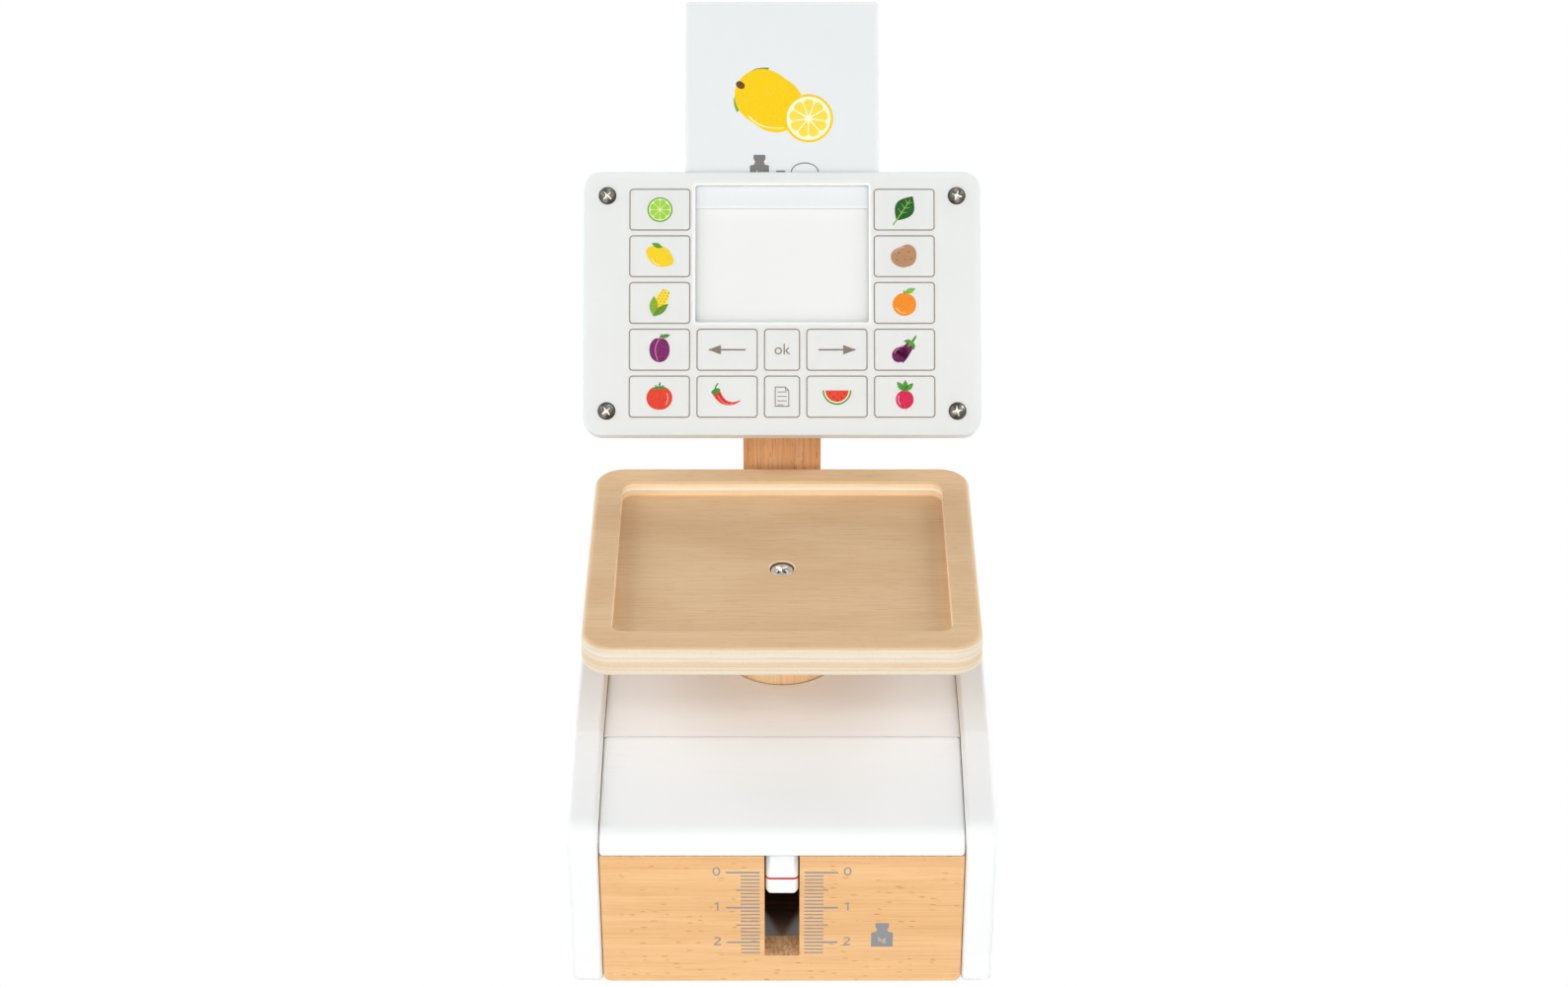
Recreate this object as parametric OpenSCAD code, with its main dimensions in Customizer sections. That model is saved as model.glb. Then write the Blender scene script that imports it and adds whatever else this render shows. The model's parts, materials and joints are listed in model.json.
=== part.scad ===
// Toy shop scale in wood: a spring-borne tray over a closed housing, a pointer in a slot,
// and a tilted key panel on a post with a picture card that slides into it.
// Millimetres. +X is the right-hand side, +Y the back, +Z up. The origin is the middle of the
// housing's footprint, on the surface that it stands on.

/* [Housing] */
// Width over both side panels
body_w = 165; // [150:1:190]
// Thickness of each side panel
side_t = 12; // [9:0.5:15]
// Thickness of the hood and the top panel
board_t = 12; // [9:0.5:14]
// Thickness of the base board
base_t = 9; // [6:0.5:12]
// Thickness of the back panel
back_t = 9; // [6:0.5:12]
// Height of the top panel's upper face
top_z = 83; // [80:0.5:90]
// Height of the side panels above the top panel
side_lift = 2.6; // [1:0.1:4]
// Height at which the side panels' front edge turns into their slope
side_front_z = 76; // [72:0.5:79]
// Distance from the front to the seam between hood and top panel
hood_d = 52; // [44:1:60]
// Radius of the hood's nose
nose_r = 8; // [4:0.5:9]
// Radius of the side panels' front top corner
side_corner_r = 9; // [4:0.5:12]
// Radius of the softened edges of the side panels
side_edge_r = 2; // [1:0.25:3]
// Radius of the side panels' lower and rear corners
foot_r = 4; // [3.2:0.1:8]
// Radius of the softened ends of the hood
hood_edge_r = 1.2; // [0.5:0.1:2]
// Gap left at the seams between painted boards
seam = 0.3; // [0.1:0.05:0.4]

/* [Front panel] */
// Thickness of the front panel
front_t = 12; // [9:0.5:15]
// Height of the front panel
front_h = 62.7; // [61:0.1:64]
// Height of the front panel's lower edge above the ground
front_lift = 1.8; // [0.5:0.1:3]
// Radius of the front panel's lower corners
front_corner_r = 3; // [1:0.5:6]
// Width of the pointer slot
slot_w = 13.6; // [12:0.1:18]
// Height of the slot's floor above the front panel's lower edge
slot_floor_h = 13; // [10:0.5:20]

/* [Weighing tray] */
// Width of the tray
tray_w = 156; // [140:1:160]
// Depth of the tray
tray_d = 132; // [120:1:140]
// Thickness of the tray's plywood
tray_t = 14; // [11:0.5:18]
// Corner radius of the tray
tray_corner_r = 12; // [8:0.5:20]
// Radius of the tray's softened edges
tray_edge_r = 2.5; // [1:0.25:3.5]
// Width of the rim round the recess
tray_rim = 11.4; // [8:0.2:20]
// Depth of the recess
tray_recess = 7; // [4:0.5:8]
// Corner radius of the recess
recess_corner_r = 5; // [3:0.5:10]
// Gap between the tray and the side panels when the tray is fully down
tray_gap = 0.7; // [0.4:0.1:3]

/* [Plunger and pointer] */
// Diameter of the plunger
plunger_dia = 47; // [40:0.5:50]
// Radial clearance of the plunger in the top panel
plunger_gap = 0.5; // [0.3:0.05:1]
// Distance from the front to the plunger's axis
plunger_from_front = 110.7; // [105:0.5:118]
// Outer diameter of the stop collar
collar_dia = 60; // [56:0.5:66]
// Thickness of the pointer arm
arm_t = 9; // [6:0.5:10]
// Width of the pointer arm's tongue
arm_w = 12; // [8:0.5:13]
// Drop of the arm's upper face below the pointer's top
arm_drop = 2.2; // [1:0.1:4]
// Width of the pointer
pointer_w = 12.6; // [10:0.1:13]
// Height of the pointer
pointer_h = 18.5; // [16:0.5:24]
// Depth of the pointer, front to back
pointer_d = 13; // [10:0.5:16]
// Radius of the pointer's edges
pointer_r = 1.5; // [0.5:0.1:3]
// Setback of the pointer behind the front panel's face
pointer_setback = 0.6; // [0:0.1:2]

/* [Spring] */
// Mean diameter of the spring
spring_dia = 32; // [28:0.5:33]
// Diameter of the spring's wire
wire_dia = 1.6; // [1.2:0.1:2]
// Whole and part turns of the spring
spring_turns = 5.5; // [4:0.5:6]
// Height of the round boss that centres each end of the spring
boss_h = 5; // [3:0.5:5.5]

/* [Post] */
// Width of the post
post_w = 32.5; // [26:0.5:40]
// Thickness of the post, front to back
post_t = 18; // [14:0.5:24]
// Gap between the tray's back edge and the post
post_gap = 3.3; // [2:0.1:10]
// Height of the post's front top corner
post_front_z = 153.1; // [140:0.5:170]
// Tilt of the key panel back from the vertical, in degrees
tilt = 37.1; // [30:0.5:45]
// Length of the key panel that hangs in front of and below the post's top corner
panel_overhang = 8.8; // [5:0.1:14]

/* [Key panel] */
// Width of the key panel
panel_w = 165; // [160:1:190]
// Height of the key panel along its slope
panel_h = 110; // [105:1:130]
// Corner radius of the key panel
panel_corner_r = 7.5; // [4:0.5:9]
// Thickness of the frosted front plate
plate_t = 2; // [1.5:0.1:3]
// Thickness of the board behind the plate
panel_board_t = 12; // [9:0.5:18]
// Radius of the board's softened edges
panel_edge_r = 1.2; // [0.5:0.1:2]
// Width of the window in the plate
window_w = 72; // [60:1:76]
// Width of the plate's web above the window
window_web = 5.5; // [4:0.5:12]
// Height of the window's lower edge above the plate's lower edge
window_low = 47; // [44:0.5:49]
// Corner radius of the window
window_r = 1; // [0.5:0.1:3]
// Distance from the plate's edges to the corner screws
plate_screw_inset = 10; // [9:0.5:12]

/* [Picture card] */
// Width of the card
card_w = 80.5; // [70:0.5:86]
// Height of the card
card_h = 87.5; // [80:0.5:100]
// Thickness of the card
card_t = 1; // [0.8:0.1:1.2]
// Corner radius of the card
card_r = 2; // [1:0.5:5]
// Length of the card that stays in its pocket in the photograph's position
card_grip = 14.9; // [10:0.1:40]
// Clearance on each side of the card in its pocket
card_side_gap = 1; // [0.5:0.1:2]
// Clearance in front of and behind the card
card_face_gap = 0.4; // [0.3:0.05:0.5]

/* [Fasteners] */
// Head diameter of the four plate screws
pan_head_dia = 8; // [7:0.25:9]
// Head height of the plate screws
pan_head_h = 2.4; // [2:0.1:3]
// Shank diameter of the plate screws
pan_shank_dia = 3.5; // [3:0.1:4]
// Length of the plate screws below the head
pan_shank_l = 11; // [8:0.5:12]
// Head diameter of the tray screw
tray_head_dia = 9.2; // [8:0.1:10]
// Diameter of the tray screw's countersink at the tray's recess floor
tray_sink_dia = 11; // [10.4:0.1:12]
// Shank diameter of the tray screw
tray_shank_dia = 5; // [4:0.25:6]
// Length of the tray screw in the plunger
tray_screw_bite = 22; // [15:1:30]
// Head diameter of the hidden wood screws
wood_head_dia = 6.5; // [5:0.1:7]
// Shank diameter of the hidden wood screws
wood_shank_dia = 3.5; // [3:0.1:4]
// Length of the hidden wood screws in the second piece
wood_bite = 12; // [8:0.5:13]

/* [Hidden] */

// Overrun of every cut past the face that it opens
cut = 1;
// Running gap between pieces that move past each other
move_gap = 0.3;
// Faces of a full turn on the exact round pieces
$fn = 64;
// Steps of a softened edge and faces of a softened corner
round_steps = 5;
corner_fn = 40;
// Thickness of the thin slices that a softened board is drawn over
slice_t = 0.02;

// Places along Y, counted from the front
tray_back_from_front = plunger_from_front + tray_d / 2;
post_from_front = tray_back_from_front + post_gap;
body_d = post_from_front + post_t + back_t;
front_y = -body_d / 2;
back_y = body_d / 2;
plunger_y = front_y + plunger_from_front;
post_y = front_y + post_from_front;
back_inner_y = back_y - back_t;
hood_y = front_y + hood_d;
inner_half = body_w / 2 - side_t;

// Heights
side_top_z = top_z + side_lift;
top_under_z = top_z - board_t;
front_top_z = front_lift + front_h;
hood_under_z = front_top_z + seam;
pointer_top_z = front_top_z - move_gap;
pointer_z = pointer_top_z - pointer_h;
slot_floor_z = front_lift + slot_floor_h;
end_gap = 0.4;
travel = pointer_z - slot_floor_z - end_gap;
tray_z = side_top_z + travel + tray_gap;
tray_top_z = tray_z + tray_t;
recess_z = tray_top_z - tray_recess;
arm_top_z = pointer_top_z - arm_drop;
arm_z = arm_top_z - arm_t;

// Slope of the side panels and the hood
slope = atan((side_top_z - side_front_z) / hood_d);

// Key panel: the post's front top corner touches the board's back face
panel_depth = plate_t + panel_board_t;
panel_y = post_y - panel_depth * cos(tilt) - panel_overhang * sin(tilt);
panel_z = post_front_z + panel_depth * sin(tilt) - panel_overhang * cos(tilt);
post_back_z = post_front_z + post_t / tan(tilt);

// Picture card and its pocket in the board
pocket_w = card_w + 2 * card_side_gap;
pocket_d = card_t + 2 * card_face_gap;
pocket_under_window = 1.7;
pocket_low = window_low - pocket_under_window;
window_h = panel_h - window_low - window_web;
card_low = pocket_low + move_gap;
card_z = panel_h - card_grip;
card_raise = card_z - card_low;

// Cleats under the top panel
cleat_w = 12;
cleat_h = 12;
cleat_from_seam = 8;
cleat_y = hood_y + cleat_from_seam;
cleat_l = back_inner_y - cleat_from_seam - cleat_y;

// Spring and its bosses
boss_gap = 0.6;
boss_r = (spring_dia - wire_dia) / 2 - boss_gap;
boss_edge = 1;
spring_low_z = base_t;
spring_high_z = arm_z;
spring_sides = 8;
spring_rings = 16;
end_turns = 1;
coil_gap = 0.5;
end_cut = 0.2;

// Pad of the pointer arm under the plunger, and its screws
pad_r = plunger_dia / 2;
arm_screw_r = 20;
arm_screw_sink = 0.4;
dowel_dia = 4;
dowel_l = 18;
dowel_in_pointer = 8;

// Screws through the back panel into the post, and through the key panel's board
post_screw_low = 24;
post_screw_high = 58;
board_screw_side = 9;
board_screw_up = 17;
cross_w = 1.3;
cross_d = 1.2;
cross_l_share = 0.62;
head_drop = 0.9;

paint = "white";
beech = [0.86, 0.66, 0.43];
ply = [0.85, 0.73, 0.55];
steel = [0.62, 0.62, 0.6];

echo("travel", travel, "card_travel_down", card_raise, "spring_rest", spring_high_z - spring_low_z,
    "panel_y", panel_y, "panel_z", panel_z, "tray_z", tray_z, "body_d", body_d);
echo("least gap of the spring to itself", spring_least_gap());

// Flat shapes

// Rectangle from the middle of its lower edge, with round corners
module round_rect(w, h, r) {
    translate([-w / 2 + r, 0]) square([w - 2 * r, h]);
    translate([-w / 2, r]) square([w, h - 2 * r]);
    for (side = [-1, 1])
        for (end = [r, h - r])
            translate([side * (w / 2 - r), end]) circle(r = r, $fn = corner_fn);
}

// Same rectangle with round lower corners only
module round_foot_rect(w, h, r) {
    translate([-w / 2, r]) square([w, h - r]);
    translate([-w / 2 + r, 0]) square([w - 2 * r, h]);
    for (side = [-1, 1])
        translate([side * (w / 2 - r), r]) circle(r = r, $fn = corner_fn);
}

// Half of a board's section, from its middle line to its softened edge
module edge_section(reach, t, r) {
    square([reach - r, t]);
    translate([0, r]) square([reach, t - 2 * r]);
    for (level = [r, t - r])
        translate([reach - r, level]) circle(r = r, $fn = corner_fn);
}

// Board lying flat on z = 0, with round corners and softened edges
module soft_board(w, d, t, corner_r, edge_r) {
    for (side = [-1, 1])
        for (end = [-1, 1])
            translate([side * (w / 2 - corner_r), end * (d / 2 - corner_r), 0])
                rotate_extrude($fn = corner_fn)
                    intersection() {
                        edge_section(corner_r, t, edge_r);
                        square([corner_r, t]);
                    }
    for (side = [0, 180])
        rotate([0, 0, side])
            translate([0, d / 2 - corner_r, 0])
                rotate([90, 0, 0])
                    linear_extrude(d - 2 * corner_r)
                        edge_section(w / 2, t, edge_r);
    for (side = [90, 270])
        rotate([0, 0, side])
            translate([0, w / 2 - corner_r, 0])
                rotate([90, 0, 0])
                    linear_extrude(w - 2 * corner_r)
                        edge_section(d / 2, t, edge_r);
}

// Board standing across X from x = 0, with the outline of its children and softened edges
module soft_slab(t, r) {
    rotate([90, 0, 90])
        hull() {
            translate([0, 0, r]) linear_extrude(t - 2 * r) children();
            for (i = [0:round_steps - 1]) {
                a = 90 * i / round_steps;
                for (level = [r * (1 - cos(a)), t - r * (1 - cos(a)) - slice_t])
                    translate([0, 0, level])
                        linear_extrude(slice_t) offset(delta = -r * (1 - sin(a))) children();
            }
        }
}

// Points of an arc round a centre
function arc(c, r, from, to, steps) =
    [for (i = [0:steps]) let (a = from + (to - from) * i / steps) c + r * [cos(a), sin(a)]];

// Screws point along +Z, with the head's top at z = 0 and the point below

// Cross recess in a screw's head
module cross_recess(head_dia) {
    for (turn = [0, 90])
        rotate([0, 0, turn])
            translate([-head_dia * cross_l_share / 2, -cross_w / 2, -cross_d])
                cube([head_dia * cross_l_share, cross_w, cross_d + cut]);
}

module countersunk_screw(head_dia, shank_dia, length) {
    cone_h = (head_dia - shank_dia) / 2;
    difference() {
        union() {
            translate([0, 0, -cone_h]) cylinder(d1 = shank_dia, d2 = head_dia, h = cone_h);
            translate([0, 0, -length]) cylinder(d = shank_dia, h = length);
        }
        cross_recess(head_dia);
    }
}

// Hole for the same screw, open above its head
module countersunk_hole(head_dia, shank_dia, length) {
    cone_h = (head_dia - shank_dia) / 2;
    translate([0, 0, -cone_h]) cylinder(d1 = shank_dia, d2 = head_dia, h = cone_h);
    translate([0, 0, -length]) cylinder(d = shank_dia, h = length);
    cylinder(d = head_dia, h = cut);
}

// The plate screws' domed head is a slice of a sphere, with its rim on z = 0
module pan_screw() {
    dome_r = (pow(pan_head_dia / 2, 2) + pow(pan_head_h, 2)) / (2 * pan_head_h);
    difference() {
        union() {
            intersection() {
                translate([0, 0, pan_head_h - dome_r]) sphere(r = dome_r);
                cylinder(d = pan_head_dia, h = pan_head_h);
            }
            translate([0, 0, -pan_shank_l]) cylinder(d = pan_shank_dia, h = pan_shank_l + pan_head_h / 2);
        }
        translate([0, 0, pan_head_h]) cross_recess(pan_head_dia);
    }
}

// Housing

module base_board() {
    color(paint)
        translate([-inner_half, front_y + front_t, 0])
            cube([2 * inner_half, back_inner_y - front_y - front_t, base_t]);
}

// Outline of a side panel, seen from +X, with the front at x = 0
module side_outline() {
    front_arc_z = side_front_z + side_corner_r * tan(slope) - side_corner_r / cos(slope);
    polygon(concat(
        arc([foot_r, foot_r], foot_r, 270, 180, round_steps),
        arc([side_corner_r, front_arc_z], side_corner_r, 180, 90 + slope, 2 * round_steps),
        arc([hood_d + side_corner_r * tan(slope / 2), side_top_z - side_corner_r],
            side_corner_r, 90 + slope, 90, 2),
        arc([body_d - foot_r, side_top_z - foot_r], foot_r, 90, 0, round_steps),
        arc([body_d - foot_r, foot_r], foot_r, 0, -90, round_steps)));
}

module side_panel(x) {
    color(paint)
        translate([x, front_y, 0])
            soft_slab(side_t, side_edge_r) side_outline();
}

module side_left() {
    side_panel(-body_w / 2);
}

module side_right() {
    side_panel(body_w / 2 - side_t);
}

module slot_cut() {
    translate([-slot_w / 2, front_y - cut, slot_floor_z])
        cube([slot_w, front_t + 2 * cut, front_top_z - slot_floor_z + cut]);
}

module front_panel() {
    color(beech)
        difference() {
            translate([0, front_y + front_t, front_lift])
                rotate([90, 0, 0])
                    linear_extrude(front_t)
                        round_foot_rect(2 * (inner_half - seam), front_h, front_corner_r);
            slot_cut();
        }
}

// Outline of the hood, seen from +X: a flat foot on the front panel, a round nose,
// and an upper face that slopes with the side panels
module hood_outline() {
    back = hood_d - seam;
    drop = tan(slope);
    nose_z = top_z - (hood_d - nose_r) * drop - nose_r / cos(slope);
    under_back_z = top_z - board_t / cos(slope);
    foot_d = back - (under_back_z - hood_under_z) / drop;
    polygon(concat(
        [[0, hood_under_z]],
        arc([nose_r, nose_z], nose_r, 180, 90 + slope, 2 * round_steps),
        [[back, top_z - seam * drop], [back, under_back_z], [max(foot_d, front_t), hood_under_z]]));
}

module hood() {
    color(paint)
        translate([-inner_half + seam, front_y, 0])
            soft_slab(2 * (inner_half - seam), hood_edge_r) hood_outline();
}

module guide_hole() {
    translate([0, plunger_y, top_under_z - cut])
        cylinder(d = plunger_dia + 2 * plunger_gap, h = board_t + 2 * cut);
}

module top_panel() {
    color(paint)
        difference() {
            translate([-inner_half + seam, hood_y, top_under_z])
                cube([2 * (inner_half - seam), back_inner_y - hood_y, board_t]);
            guide_hole();
            translate([-post_w / 2 - seam, post_y - seam, top_under_z - cut])
                cube([post_w + 2 * seam, post_t + seam + cut, board_t + 2 * cut]);
        }
}

module place_post_screws() {
    for (level = [post_screw_low, post_screw_high])
        translate([0, back_y, level])
            rotate([-90, 0, 0])
                children();
}

module back_panel() {
    color(paint)
        difference() {
            translate([-inner_half + seam, back_inner_y, 0])
                cube([2 * (inner_half - seam), back_t, top_z]);
            place_post_screws() countersunk_hole(wood_head_dia, wood_shank_dia, back_t + wood_bite);
        }
}

module cleat(x) {
    color(beech)
        translate([x, cleat_y, top_under_z - cleat_h])
            cube([cleat_w, cleat_l, cleat_h]);
}

module cleat_left() {
    cleat(-inner_half);
}

module cleat_right() {
    cleat(inner_half - cleat_w);
}

// Round boss with a chamfered rim, standing on z = 0
module boss() {
    cylinder(r = boss_r, h = boss_h - boss_edge);
    translate([0, 0, boss_h - boss_edge])
        cylinder(r1 = boss_r, r2 = boss_r - boss_edge, h = boss_edge);
}

module spring_seat() {
    color(beech)
        translate([0, plunger_y, base_t]) boss();
}

// Post and key panel

// Puts its children on the key panel: X across, Y into the board, Z up the slope
module on_panel() {
    translate([0, panel_y, panel_z])
        rotate([-tilt, 0, 0])
            children();
}

module post() {
    color(beech)
        difference() {
            translate([-post_w / 2, 0, 0])
                rotate([90, 0, 90])
                    linear_extrude(post_w)
                        polygon([[post_y, base_t], [back_inner_y, base_t],
                            [back_inner_y, post_back_z], [post_y, post_front_z]]);
            place_post_screws() countersunk_hole(wood_head_dia, wood_shank_dia, back_t + wood_bite);
            place_board_screws() countersunk_hole(wood_head_dia, wood_shank_dia, panel_board_t + wood_bite);
        }
}

module post_screws() {
    color(steel)
        place_post_screws() countersunk_screw(wood_head_dia, wood_shank_dia, back_t + wood_bite);
}

module place_board_screws() {
    on_panel()
        for (side = [-1, 1])
            translate([side * board_screw_side, plate_t, board_screw_up])
                rotate([90, 0, 0])
                    children();
}

module place_plate_screws() {
    on_panel()
        for (side = [-1, 1])
            for (level = [plate_screw_inset, panel_h - plate_screw_inset])
                translate([side * (panel_w / 2 - plate_screw_inset), 0, level])
                    rotate([90, 0, 0])
                        children();
}

// Hole for a plate screw through the plate and into the board
module plate_screw_hole() {
    translate([0, 0, -pan_shank_l]) cylinder(d = pan_shank_dia, h = pan_shank_l + cut);
}

module display_board() {
    color(paint)
        difference() {
            on_panel()
                translate([0, plate_t, panel_h / 2])
                    rotate([-90, 0, 0])
                        soft_board(panel_w, panel_h, panel_board_t, panel_corner_r, panel_edge_r);
            on_panel()
                translate([-pocket_w / 2, plate_t - cut, pocket_low])
                    cube([pocket_w, pocket_d + cut, panel_h - pocket_low + cut]);
            place_plate_screws() plate_screw_hole();
            place_board_screws() countersunk_hole(wood_head_dia, wood_shank_dia, panel_board_t + wood_bite);
        }
}

module display_plate() {
    color("whitesmoke")
        difference() {
            on_panel()
                translate([0, plate_t, 0])
                    rotate([90, 0, 0])
                        linear_extrude(plate_t)
                            difference() {
                                round_rect(panel_w, panel_h, panel_corner_r);
                                translate([0, window_low]) round_rect(window_w, window_h, window_r);
                            }
            place_plate_screws() plate_screw_hole();
        }
}

module display_screws() {
    color(steel)
        place_plate_screws() pan_screw();
}

module board_screws() {
    color(steel)
        place_board_screws() countersunk_screw(wood_head_dia, wood_shank_dia, panel_board_t + wood_bite);
}

module card() {
    color(paint)
        on_panel()
            translate([0, plate_t + card_face_gap + card_t, card_z])
                rotate([90, 0, 0])
                    linear_extrude(card_t)
                        round_rect(card_w, card_h, card_r);
}

// Weighing tray, plunger and pointer

module place_tray_screw() {
    translate([0, plunger_y, recess_z - head_drop])
        children();
}

module tray() {
    recess_w = tray_w - 2 * tray_rim;
    recess_d = tray_d - 2 * tray_rim;
    sink_h = (tray_sink_dia - tray_shank_dia) / 2;
    color(ply)
        difference() {
            translate([0, plunger_y, tray_z])
                soft_board(tray_w, tray_d, tray_t, tray_corner_r, tray_edge_r);
            translate([0, plunger_y - recess_d / 2, recess_z])
                linear_extrude(tray_recess + cut)
                    round_rect(recess_w, recess_d, recess_corner_r);
            translate([0, plunger_y, tray_z - cut])
                cylinder(d = tray_shank_dia, h = tray_t);
            translate([0, plunger_y, recess_z - sink_h])
                cylinder(d1 = tray_shank_dia, d2 = tray_sink_dia, h = sink_h);
        }
}

module tray_screw() {
    color(steel)
        place_tray_screw()
            countersunk_screw(tray_head_dia, tray_shank_dia, recess_z - head_drop - tray_z + tray_screw_bite);
}

module place_arm_screws() {
    for (turn = [90, 270])
        translate([0, plunger_y, arm_z + arm_screw_sink])
            rotate([180, 0, turn])
                translate([arm_screw_r, 0, 0])
                    children();
}

module plunger() {
    color(beech)
        difference() {
            translate([0, plunger_y, arm_top_z])
                cylinder(d = plunger_dia, h = tray_z - arm_top_z);
            translate([0, plunger_y, tray_z - tray_screw_bite])
                cylinder(d = tray_shank_dia, h = tray_screw_bite + cut);
            place_arm_screws() countersunk_hole(wood_head_dia, wood_shank_dia, arm_t + wood_bite);
        }
}

module stop_collar() {
    color(beech)
        translate([0, plunger_y, arm_top_z])
            difference() {
                cylinder(d = collar_dia, h = top_under_z - move_gap - arm_top_z);
                translate([0, 0, -cut]) cylinder(d = plunger_dia, h = top_under_z - arm_top_z + 2 * cut);
            }
}

module dowel_solid() {
    translate([0, front_y + pointer_setback + pointer_d - dowel_in_pointer, arm_z + arm_t / 2])
        rotate([-90, 0, 0])
            cylinder(d = dowel_dia, h = dowel_l);
}

module pointer_arm() {
    tongue_y = front_y + pointer_setback + pointer_d;
    color(ply)
        difference() {
            union() {
                translate([0, plunger_y, arm_z]) cylinder(r = pad_r, h = arm_t);
                translate([-arm_w / 2, tongue_y, arm_z]) cube([arm_w, plunger_y - tongue_y, arm_t]);
            }
            dowel_solid();
            place_arm_screws() countersunk_hole(wood_head_dia, wood_shank_dia, arm_t + wood_bite);
        }
}

module arm_screws() {
    color(steel)
        place_arm_screws() countersunk_screw(wood_head_dia, wood_shank_dia, arm_t + wood_bite);
}

// Pointer block, with every edge rounded
module pointer() {
    color(paint)
        difference() {
            translate([0, front_y + pointer_setback, pointer_z])
                intersection() {
                    linear_extrude(pointer_h) round_rect(pointer_w, pointer_d, pointer_r);
                    translate([0, pointer_d, 0])
                        rotate([90, 0, 0])
                            linear_extrude(pointer_d) round_rect(pointer_w, pointer_h, pointer_r);
                    translate([-pointer_w / 2, pointer_d / 2, 0])
                        rotate([90, 0, 90])
                            linear_extrude(pointer_w) round_rect(pointer_d, pointer_h, pointer_r);
                }
            dowel_solid();
        }
}

module pointer_dowel() {
    color(beech) dowel_solid();
}

// Compression spring

// Height of the wire's middle after a share of the turns: close end turns, open ones between
function spring_z(turn) =
    let (low = spring_low_z + wire_dia / 2 - end_cut, high = spring_high_z - wire_dia / 2 + end_cut,
        close = (wire_dia + coil_gap) * end_turns, open_turns = spring_turns - 2 * end_turns,
        open_rise = high - low - 2 * close)
    turn < end_turns ? low + close * turn / end_turns
    : turn > spring_turns - end_turns ? high - close * (spring_turns - turn) / end_turns
    : low + close + open_rise * (turn - end_turns) / open_turns;

// Least gap between one turn of the wire and the next, measured along the axis
function spring_least_gap() =
    min([for (turn = [0:1 / spring_rings:spring_turns - 1]) spring_z(turn + 1) - spring_z(turn) - wire_dia]);

function spring_ring(turn) =
    let (a = 360 * turn)
    [for (i = [0:spring_sides - 1])
        let (b = 360 * i / spring_sides, reach = spring_dia / 2 + wire_dia / 2 * cos(b))
        [reach * cos(a), reach * sin(a), spring_z(turn) + wire_dia / 2 * sin(b)]];

module spring() {
    count = floor(spring_turns * spring_rings);
    rings = [for (i = [0:count]) spring_ring(i / spring_rings)];
    walls = [for (i = [0:count - 1]) for (k = [0:spring_sides - 1])
        let (n = (k + 1) % spring_sides, a = i * spring_sides, b = a + spring_sides)
        each [[a + k, b + k, b + n], [a + k, b + n, a + n]]];
    first = [[for (k = [0:spring_sides - 1]) k]];
    last = [[for (k = [0:spring_sides - 1]) count * spring_sides + spring_sides - 1 - k]];
    color(steel)
        translate([0, plunger_y, 0])
            difference() {
                polyhedron(points = [for (ring = rings) each ring], faces = concat(walls, first, last));
                translate([-spring_dia, -spring_dia, spring_low_z - wire_dia])
                    cube([2 * spring_dia, 2 * spring_dia, wire_dia]);
                translate([-spring_dia, -spring_dia, spring_high_z])
                    cube([2 * spring_dia, 2 * spring_dia, wire_dia]);
            }
}

module spring_cap() {
    color(beech)
        translate([0, plunger_y, arm_z]) mirror([0, 0, 1]) boss();
}

base_board();
side_left();
side_right();
front_panel();
hood();
top_panel();
back_panel();
cleat_left();
cleat_right();
spring_seat();
post();
post_screws();
display_board();
display_plate();
display_screws();
board_screws();
card();
tray();
tray_screw();
plunger();
stop_collar();
pointer_arm();
arm_screws();
pointer();
pointer_dowel();
spring();
spring_cap();
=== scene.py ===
"""Looks of a wooden toy shop scale: finishes, prints, spring, floor, light and camera round its CAD model.

Lengths on the object are written in millimetres and turned into metres with MM. Camera, lamps and floor are
in metres. The row frame is +X right, +Y back, +Z up.
"""

import json
import math

import bmesh
import bpy
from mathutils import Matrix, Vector


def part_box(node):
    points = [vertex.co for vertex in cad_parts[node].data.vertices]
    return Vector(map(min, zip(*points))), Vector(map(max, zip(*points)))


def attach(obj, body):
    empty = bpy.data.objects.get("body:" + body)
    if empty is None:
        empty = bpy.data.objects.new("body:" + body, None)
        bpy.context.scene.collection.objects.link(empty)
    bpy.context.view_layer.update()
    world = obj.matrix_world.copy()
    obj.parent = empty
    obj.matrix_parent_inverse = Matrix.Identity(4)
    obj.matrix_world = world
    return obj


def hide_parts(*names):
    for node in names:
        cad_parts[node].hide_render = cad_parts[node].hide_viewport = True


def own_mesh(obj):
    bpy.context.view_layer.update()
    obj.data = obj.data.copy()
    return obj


MM = 0.001

# Camera, fitted to the photograph's 1588 by 1000 pixels
IMAGE_W = 1588
IMAGE_H = 1000
FOCAL_PX = 3152
CENTRE_PX = (792.0, 497.8)
CAMERA_AT = (0, -1.0386, 0.8213)
PITCH_DOWN = 32.29
SENSOR_W = 36

# Sizes that the CAD model has too
PLATE_T = 2
CARD_FACE_GAP = 0.4
CARD_H = 87.5
SPRING_R = 16
WIRE_R = 0.8
SPRING_TURNS = 5.5

# Prints stand this far above their surface, and each further level of ink as much again
INK = 0.02
GREY_INK = "8f9195"
KEY_INK = "83786a"
KEY_LINE = "8d8072"
ICON_GREY = "7d7b78"

# Height of a capital as a share of the built-in typeface's size
CAPITAL_SHARE = 0.72

# Directions of the row frame
RIGHT = (1, 0, 0)
BACK = (0, 1, 0)
UP = (0, 0, 1)

# Light on the base board behind the slot, and the V-shaped shadow in it, in millimetres
LIGHT_FROM_Y = -88
LIGHT_TO_Y = -64
SHADOW_TIP_Y = -87
SHADOW_SLOPE = 0.4
SHADOW_BLUR = 2


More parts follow.
